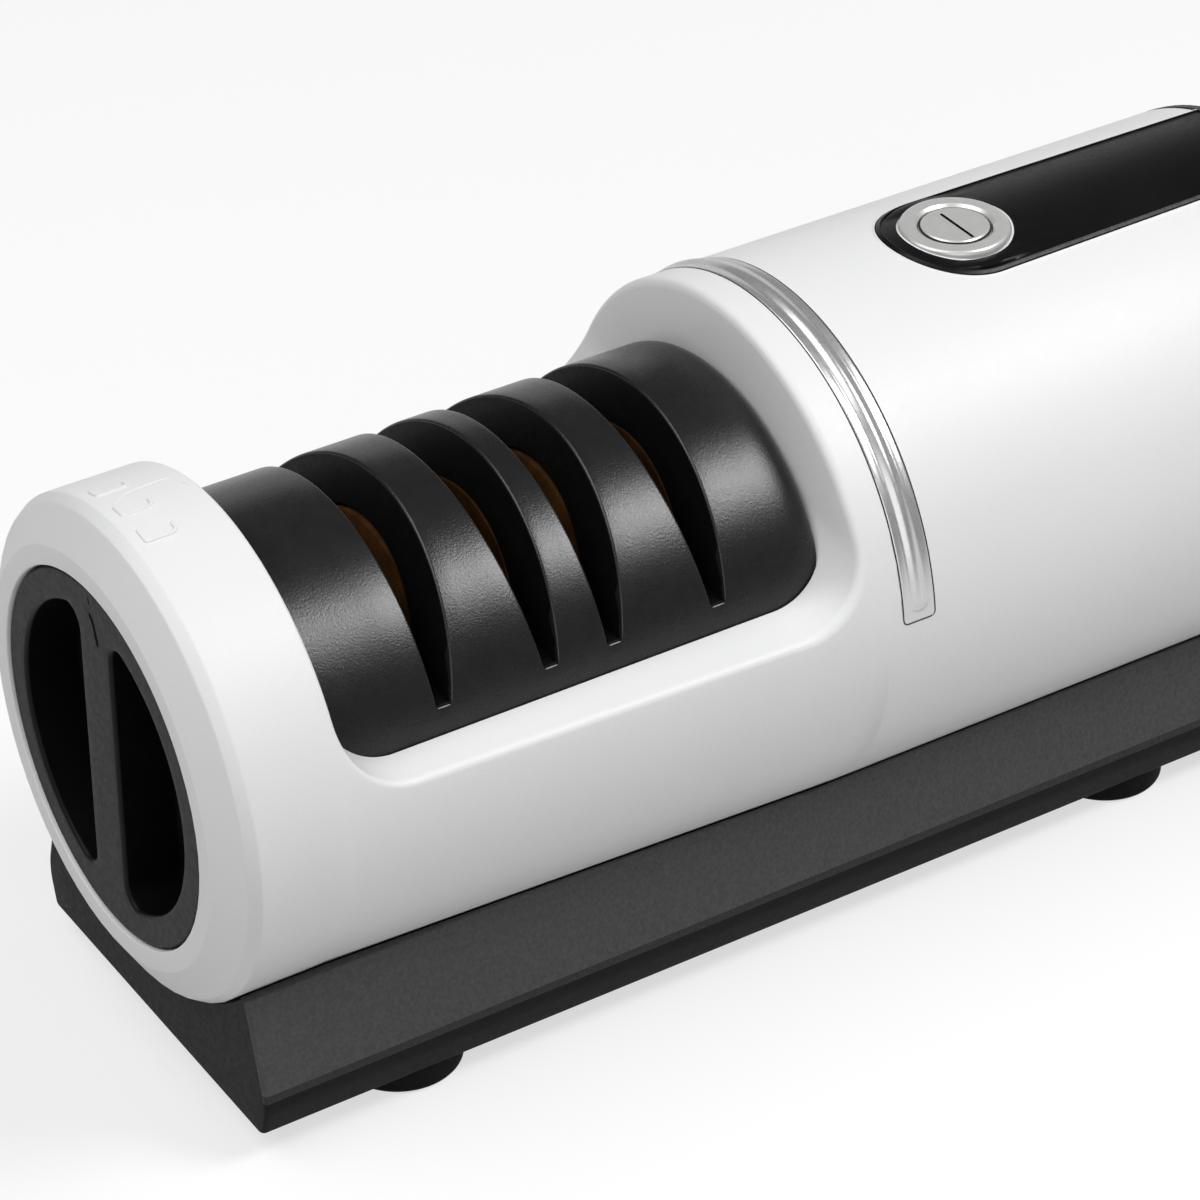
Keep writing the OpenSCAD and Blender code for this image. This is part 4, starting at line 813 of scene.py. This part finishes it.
# Each slot's middle, its front and rear wall's lean, and its wheel's side: 1 behind it, -1 before it
SLOTS = [
    (39.1, math.radians(0.6), math.radians(16), 1),
    (59.9, math.radians(5.5), math.radians(10.6), -1),
    (72.4, math.radians(0.6), math.radians(16), 1),
    (93.2, math.radians(5.5), math.radians(10.6), -1),
]
SLOT_FLOOR = 13.9
SLOT_HALF = 1.4
WHEEL_HOLE = 23.7
WHEEL_CUT = 0.62
WALL_TUCK = 1.6
COVER_FRONT = 13.4
COVER_REAR = 115.7
COVER_TURN = 110.5
PAD_R = 22.6


def hole_height(y):
    """Height over the axis at which the wheel's opening ends at y."""
    inside = WHEEL_HOLE ** 2 - y * y
    return SPINDLE_H + math.sqrt(inside) if inside > 0 else -99.0


def wall_points(x_floor, lean, side, wheel, y, crest, soft=0.45):
    """One slot wall at y from its bottom to the rounded edge at the crest, side -1 for a front wall."""
    low = SLOT_FLOOR
    if wheel:
        low = max(low, hole_height(y))
    low = min(low, crest)
    at = lambda z: x_floor + side * max(0.0, z - SLOT_FLOOR) * math.tan(lean)
    deep = crest - low
    soft = min(soft, 0.45 * deep)
    points = [(at(low) + side * (WALL_TUCK if wheel and deep > 0 else 0.0), y, AXIS_H + low)]
    for k in range(5):
        z = low + (deep - soft) * k / 4
        points.append((at(z), y, AXIS_H + z))
    corner = np.array((at(crest), y, AXIS_H + crest))
    down = np.array((-side * math.sin(lean), 0, -math.cos(lean))) * soft
    out = np.array((side, 0, 0)) * soft
    for k in range(1, 6):
        f = math.pi / 2 * k / 5
        points.append(tuple(corner + (1 - math.sin(f)) * down + (1 - math.cos(f)) * out))
    return points


def cover_angles():
    """Stations over the cover, dense where the slots run out, then down to its lower edge."""
    flat, rim = math.asin(34.3 / COVER_R), math.asin(35.0 / COVER_R)
    steps = list(np.linspace(0, flat, 40)) + [(flat + rim) / 2, rim]
    steps += list(np.linspace(rim, math.radians(83), 8))[1:]
    return [-a for a in steps[::-1]] + steps[1:]


def slot_walls(y, crest):
    """The front and the rear wall of every slot at y."""
    return [
        (
            wall_points(x - SLOT_HALF, lean0, -1, wheel_side < 0, y, crest),
            wall_points(x + SLOT_HALF, lean1, 1, wheel_side > 0, y, crest),
        )
        for x, lean0, lean1, wheel_side in SLOTS
    ]


def land_row(i, a, walls, rear):
    """A row of points over land i at angle a, with the walls of the slots beside it."""
    y, crest = COVER_R * math.sin(a), COVER_R * math.cos(a)
    if i == 0:
        row = [(COVER_FRONT, y, AXIS_H + crest), (COVER_FRONT + 3.1, y, AXIS_H + crest)]
    else:
        row = list(walls[i - 1][1])
    last = i == len(SLOTS)
    start = row[-1][0]
    stop = COVER_TURN if last else walls[i][0][-1][0]
    row += [(start + (stop - start) * k / 4, y, AXIS_H + crest) for k in range(1, 4)]
    if not last:
        return row + walls[i][0][::-1]
    row.append((COVER_TURN, y, AXIS_H + crest))
    return row + [(x, r * math.sin(a), AXIS_H + r * math.cos(a)) for r, x in rear]


def floor_row(slot, y, crest):
    """A row of points across a slot's floor at y, narrower where the wheel passes it."""
    x, _, _, wheel_side = slot
    z = min(SLOT_FLOOR, crest)
    open_here = hole_height(y) > SLOT_FLOOR
    cut = WHEEL_CUT if open_here else 0.0
    x0 = x - SLOT_HALF + (cut if wheel_side < 0 else 0)
    x1 = x + SLOT_HALF - (cut if wheel_side > 0 else 0)
    low = z - (WALL_TUCK if open_here else 0.0)
    return [
        (x0, y, AXIS_H + low), (x0, y, AXIS_H + z), ((x0 + x1) / 2, y, AXIS_H + z),
        (x1, y, AXIS_H + z), (x1, y, AXIS_H + low)
    ]


def make_cover():
    """The slotted cover: five lands with rounded slot edges, the walls inside the slots and their floors;
    walls and floors more than 0.9 mm under the cover's surface get a darker black as painted shade.
    """
    rear = rounded([(COVER_R, 100.0, 0), (COVER_R, COVER_REAR, 5.0), (30.0, COVER_REAR, 0)], 12)[1:]
    lands, floors = [[] for _ in range(len(SLOTS) + 1)], [[] for _ in SLOTS]
    for a in cover_angles():
        y, crest = COVER_R * math.sin(a), COVER_R * math.cos(a)
        walls = slot_walls(y, crest)
        for i, land in enumerate(lands):
            land.append(land_row(i, a, walls, rear))
        for slot, floor in zip(SLOTS, floors):
            floor.append(floor_row(slot, y, crest))
    skin = joined([sheet(rows) for rows in lands + floors])
    outside = lambda c: c[0] > COVER_TURN - 0.1 or math.hypot(c[1], c[2] - AXIS_H) > COVER_R - 0.9
    # Faces more than 0.9 mm down in the slots take the darker black: painted shade
    for name, part, look in (
        ("cover_skin", part_by(skin, outside), "cover_black"),
        ("cover_slots", part_by(skin, lambda c: not outside(c)), "slot_painted_shade_black"),
    ):
        build(name, part, LOOKS[look], replaces=["guide_cover"], sharp=38,
              inside=(65, 0, AXIS_H - 60))


def make_slot_lips():
    """Thin ridges where the slots' floors run out at the cover's sides, light grey as a painted glint on the
    floors' edges.
    """
    parts = []
    y0 = math.sqrt(COVER_R ** 2 - SLOT_FLOOR ** 2)
    for x, *_ in SLOTS:
        for side in (-1, 1):
            loops = []
            for u in np.linspace(-1, 1, 7):
                k, at = 0.11 * math.sqrt(max(0.0, 1 - u ** 4)), x + u * (SLOT_HALF - 0.1)
                loops.append([
                    (at, side * (y0 + k * math.cos(a)), AXIS_H + SLOT_FLOOR + k * math.sin(a))
                    for a in np.linspace(-1.6, 3.2, 9)
                ])
            parts.append(sheet(loops))
    build("slot_lips", joined(parts), LOOKS["painted_glint_grey"], inside=(65, 0, AXIS_H))


def make_pads():
    """The brown abrasive pads on the rear walls of the second and fourth slots."""
    parts = []
    for x, _, lean, wheel_side in SLOTS:
        if wheel_side > 0:
            continue
        loops = []
        for y in np.linspace(-21.5, 21.5, 44):
            top = SPINDLE_H + math.sqrt(max(0.0, PAD_R ** 2 - y * y))
            low = SLOT_FLOOR + 0.2
            row = []
            for t in (0.0, 0.02, 0.2, 0.5, 0.8, 0.98, 1.0):
                z = low + (max(top, low + 0.01) - low) * t
                lift = 0.25 if 0.0 < t < 1.0 else -0.05
                row.append((x + SLOT_HALF + (z - SLOT_FLOOR) * math.tan(lean) - lift, y, AXIS_H + z))
            loops.append(row)
        parts.append(sheet(loops))
    build("slot_pads", joined(parts), LOOKS["pad_brown"], inside=(300, 0, AXIS_H))


# Base

BASE_L = 229.0
BASE_SOFT = 0.8
WIDEST_Y = 39.3
WIDEST_Z = 8.9
SHOULDER_Y = 34.8
SHOULDER_Z = 24.8
RIM_Z = 26.2
CRADLE_DEPTH = 9
CRADLE_GAP = 0.3


def trough_width(z, radius):
    """Half width at height z of the trough that the tube lies in."""
    return math.sqrt(radius ** 2 - (AXIS_H - z) ** 2)


def base_section(x, inset):
    """Half of the base's section at x, from the rim underneath over its side and ledge into the trough."""
    radius = tube_radius(x) + CRADLE_GAP
    side = lambda z: WIDEST_Y - (z - WIDEST_Z) * (WIDEST_Y - SHOULDER_Y) / (SHOULDER_Z - WIDEST_Z)
    top = RIM_Z
    while side(top) - trough_width(top, radius) < 0.5:
        top -= 0.02
    inner = trough_width(top, radius)
    low = trough_width(top - CRADLE_DEPTH, radius)
    path = rounded([
        (35.3, 2.4, 0), (35.3, 0.0, 0.2), (37.8, 0.0, 0.7), (WIDEST_Y, 5.4, 10.0), (WIDEST_Y, WIDEST_Z, 10.0),
        (side(top), top, 0.45), (inner, top, 0.1), (low, top - CRADLE_DEPTH, 0)
    ], 7)[:-1]
    out = []
    for y, z in path:
        edge = smooth_step((y - 34.0) / 1.5) if z < 1.0 else 1.0
        out.append((y - inset * edge if z < top - 0.02 or y > inner + 0.1 else y, z))
    for k in range(1, 9):
        z = top - CRADLE_DEPTH * k / 8
        out.append((trough_width(z, radius), z))
    return out


def base_end(x, way, edge=0.5):
    """Half of the base's flat end, between its outline and the trough's arc with its rounded edge."""
    outline = base_section(x, BASE_SOFT)[:-8]
    radius = tube_radius(x) + CRADLE_GAP
    flat = [(34.0 * k / 12, 0.0) for k in range(12)] + outline[9:]
    end_angle = math.atan2(outline[-1][0], AXIS_H - outline[-1][1])
    r = radius + edge
    loops = []
    for t in (1.0, 0.75, 0.5, 0.25, 0.0):
        row = []
        for k, (y, z) in enumerate(flat):
            a = end_angle * min(1.0, k / (len(flat) - 9))
            ay, az = r * math.sin(a), AXIS_H - r * math.cos(a)
            row.append((x, ay + (y - ay) * t, az + (z - az) * t))
        loops.append(row)
    arc = [math.atan2(p[1], AXIS_H - p[2]) for p in loops[-1]]
    for k in range(1, 6):
        f = math.pi / 2 * k / 5
        r = radius + edge * (1 - math.sin(f))
        loops.append([
            (x + way * edge * (1 - math.cos(f)), r * math.sin(a), AXIS_H - r * math.cos(a)) for a in arc
        ])
    loops.append([(x + way * 8.0, radius * math.sin(a), AXIS_H - radius * math.cos(a)) for a in arc])
    return sheet(loops)


def make_base():
    """The base tray: leaning sides over a rounded lower band, with a cradle for the tube; the turn gets a
    darker copy of the side's grey and the lower band with both ends a darker one still, as painted shade.
    """
    turns = [math.pi / 2 * k / 5 for k in range(6)]
    front = sorted(
        (round(BASE_SOFT * (1 - math.cos(f)), 4), round(BASE_SOFT * (1 - math.sin(f)), 4)) for f in turns
    )
    middle = [(x, 0.0) for x in np.linspace(2.0, BASE_L - 2.0, 80)]
    rear = [(BASE_L - x, inset) for x, inset in front[::-1]]
    wall = sheet([[(x, y, z) for y, z in base_section(x, inset)] for x, inset in front + middle + rear])
    ends = joined([base_end(0.0, 1), base_end(BASE_L, -1)])
    # Painted shade: the turn and the lower band with the ends take darker copies of the side's grey
    turn_top, turn_low = 9.2, 7.2
    upper = part_by(wall, lambda c: c[2] > turn_top)
    turn = part_by(wall, lambda c: turn_low < c[2] <= turn_top)
    lower = joined([part_by(wall, lambda c: c[2] <= turn_low), ends])
    for name, half, look in (
        ("base_sides", upper, "base_grey"),
        ("base_turn", turn, "turn_half_shade_grey"),
        ("base_band", lower, "band_painted_shade_grey"),
    ):
        build(name, joined([half, mirrored(half)]), LOOKS[look], replaces=["base_tray"],
              sharp=35, inside=(115, 0, 5))


def floor_look(dull=0.5, pale=0.95, white_share=0.64):
    """White to the camera and in reflections, duller to other rays, and still with the part's shadow."""
    look = bpy.data.materials.new("floor_white")
    look.use_nodes = True
    nodes, links = look.node_tree.nodes, look.node_tree.links
    shader = nodes["Principled BSDF"]
    tone = nodes.new("ShaderNodeMix")
    tone.data_type = "RGBA"
    tone.inputs[6].default_value = (dull, dull, dull, 1.0)
    tone.inputs[7].default_value = (pale, pale, pale, 1.0)
    links.new(tone.outputs[2], shader.inputs["Base Color"])
    shader.inputs["Roughness"].default_value = 0.9
    shader.inputs["Specular IOR Level"].default_value = 0.1
    path = nodes.new("ShaderNodeLightPath")
    seen = path.outputs["Is Camera Ray"]
    links.new(seen, tone.inputs[0])
    for other in ("Is Glossy Ray", "Is Transmission Ray"):
        most = nodes.new("ShaderNodeMath")
        most.operation = "MAXIMUM"
        links.new(seen, most.inputs[0])
        links.new(path.outputs[other], most.inputs[1])
        seen = most.outputs["Value"]
    share = nodes.new("ShaderNodeMath")
    share.operation = "MULTIPLY"
    share.inputs[1].default_value = white_share
    links.new(seen, share.inputs[0])
    white = nodes.new("ShaderNodeEmission")
    white.inputs["Color"].default_value = (1.0, 1.0, 1.0, 1.0)
    white.inputs["Strength"].default_value = 1.0
    mix = nodes.new("ShaderNodeMixShader")
    links.new(share.outputs["Value"], mix.inputs["Fac"])
    links.new(shader.outputs["BSDF"], mix.inputs[1])
    links.new(white.outputs["Emission"], mix.inputs[2])
    links.new(mix.outputs["Shader"], nodes["Material Output"].inputs["Surface"])
    return look


def make_floor():
    """A plain pale floor under the part."""
    bpy.ops.mesh.primitive_plane_add(size=8, location=(0, 0, 0))
    floor = bpy.context.object
    floor.name = "floor"
    floor.data.materials.append(floor_look())


def make_lights():
    """A key light from above on the right, one from above on the left, two weak fills and a dim world."""
    aim = (0.0, 0.0, 0.05)
    for name, power, size, place in (
        ("key", 12.6, (0.55, 0.55), (0.655, -0.538, 1.166)),
        ("top", 9.6, (1.0, 1.0), (-0.65, 0.13, 1.17)),
        ("front", 4.3, (1.0, 1.0), (-0.63, -1.12, 0.54)),
        ("back", 1.6, (1.8, 0.45), (0.62, 1.3, 0.36)),
    ):
        lamp = bpy.data.lights.new(name, "AREA")
        lamp.shape = "RECTANGLE"
        lamp.size, lamp.size_y = size
        lamp.energy = power
        obj = bpy.data.objects.new(name, lamp)
        bpy.context.scene.collection.objects.link(obj)
        obj.location = place
        away = obj.location - type(obj.location)(aim)
        obj.rotation_euler = away.to_track_quat("Z", "Y").to_euler()
    world = bpy.data.worlds.new("studio")
    bpy.context.scene.world = world
    world.use_nodes = True
    back = world.node_tree.nodes["Background"]
    back.inputs["Color"].default_value = (1.0, 1.0, 1.0, 1.0)
    back.inputs["Strength"].default_value = 0.08
    bpy.context.scene.view_settings.view_transform = "Standard"


def make_camera():
    """The camera at the photograph's place and angle."""
    data = bpy.data.cameras.new("camera")
    data.lens = 139.796
    data.sensor_width = 36
    data.clip_end = 20
    cam = bpy.data.objects.new("camera", data)
    bpy.context.scene.collection.objects.link(cam)
    cam.location = (-0.3914, -0.5687, 0.5229)
    cam.rotation_euler = (math.radians(55.547), 0, math.radians(-32.793))
    bpy.context.scene.camera = cam


make_camera()
dress_nodes()
make_housing()
make_marks()
make_trim()
make_strip()
make_bezel()
make_disc()
make_spring()
make_cover()
make_slot_lips()
make_pads()
make_knob()
make_knob_marks()
make_base()
make_floor()
make_lights()
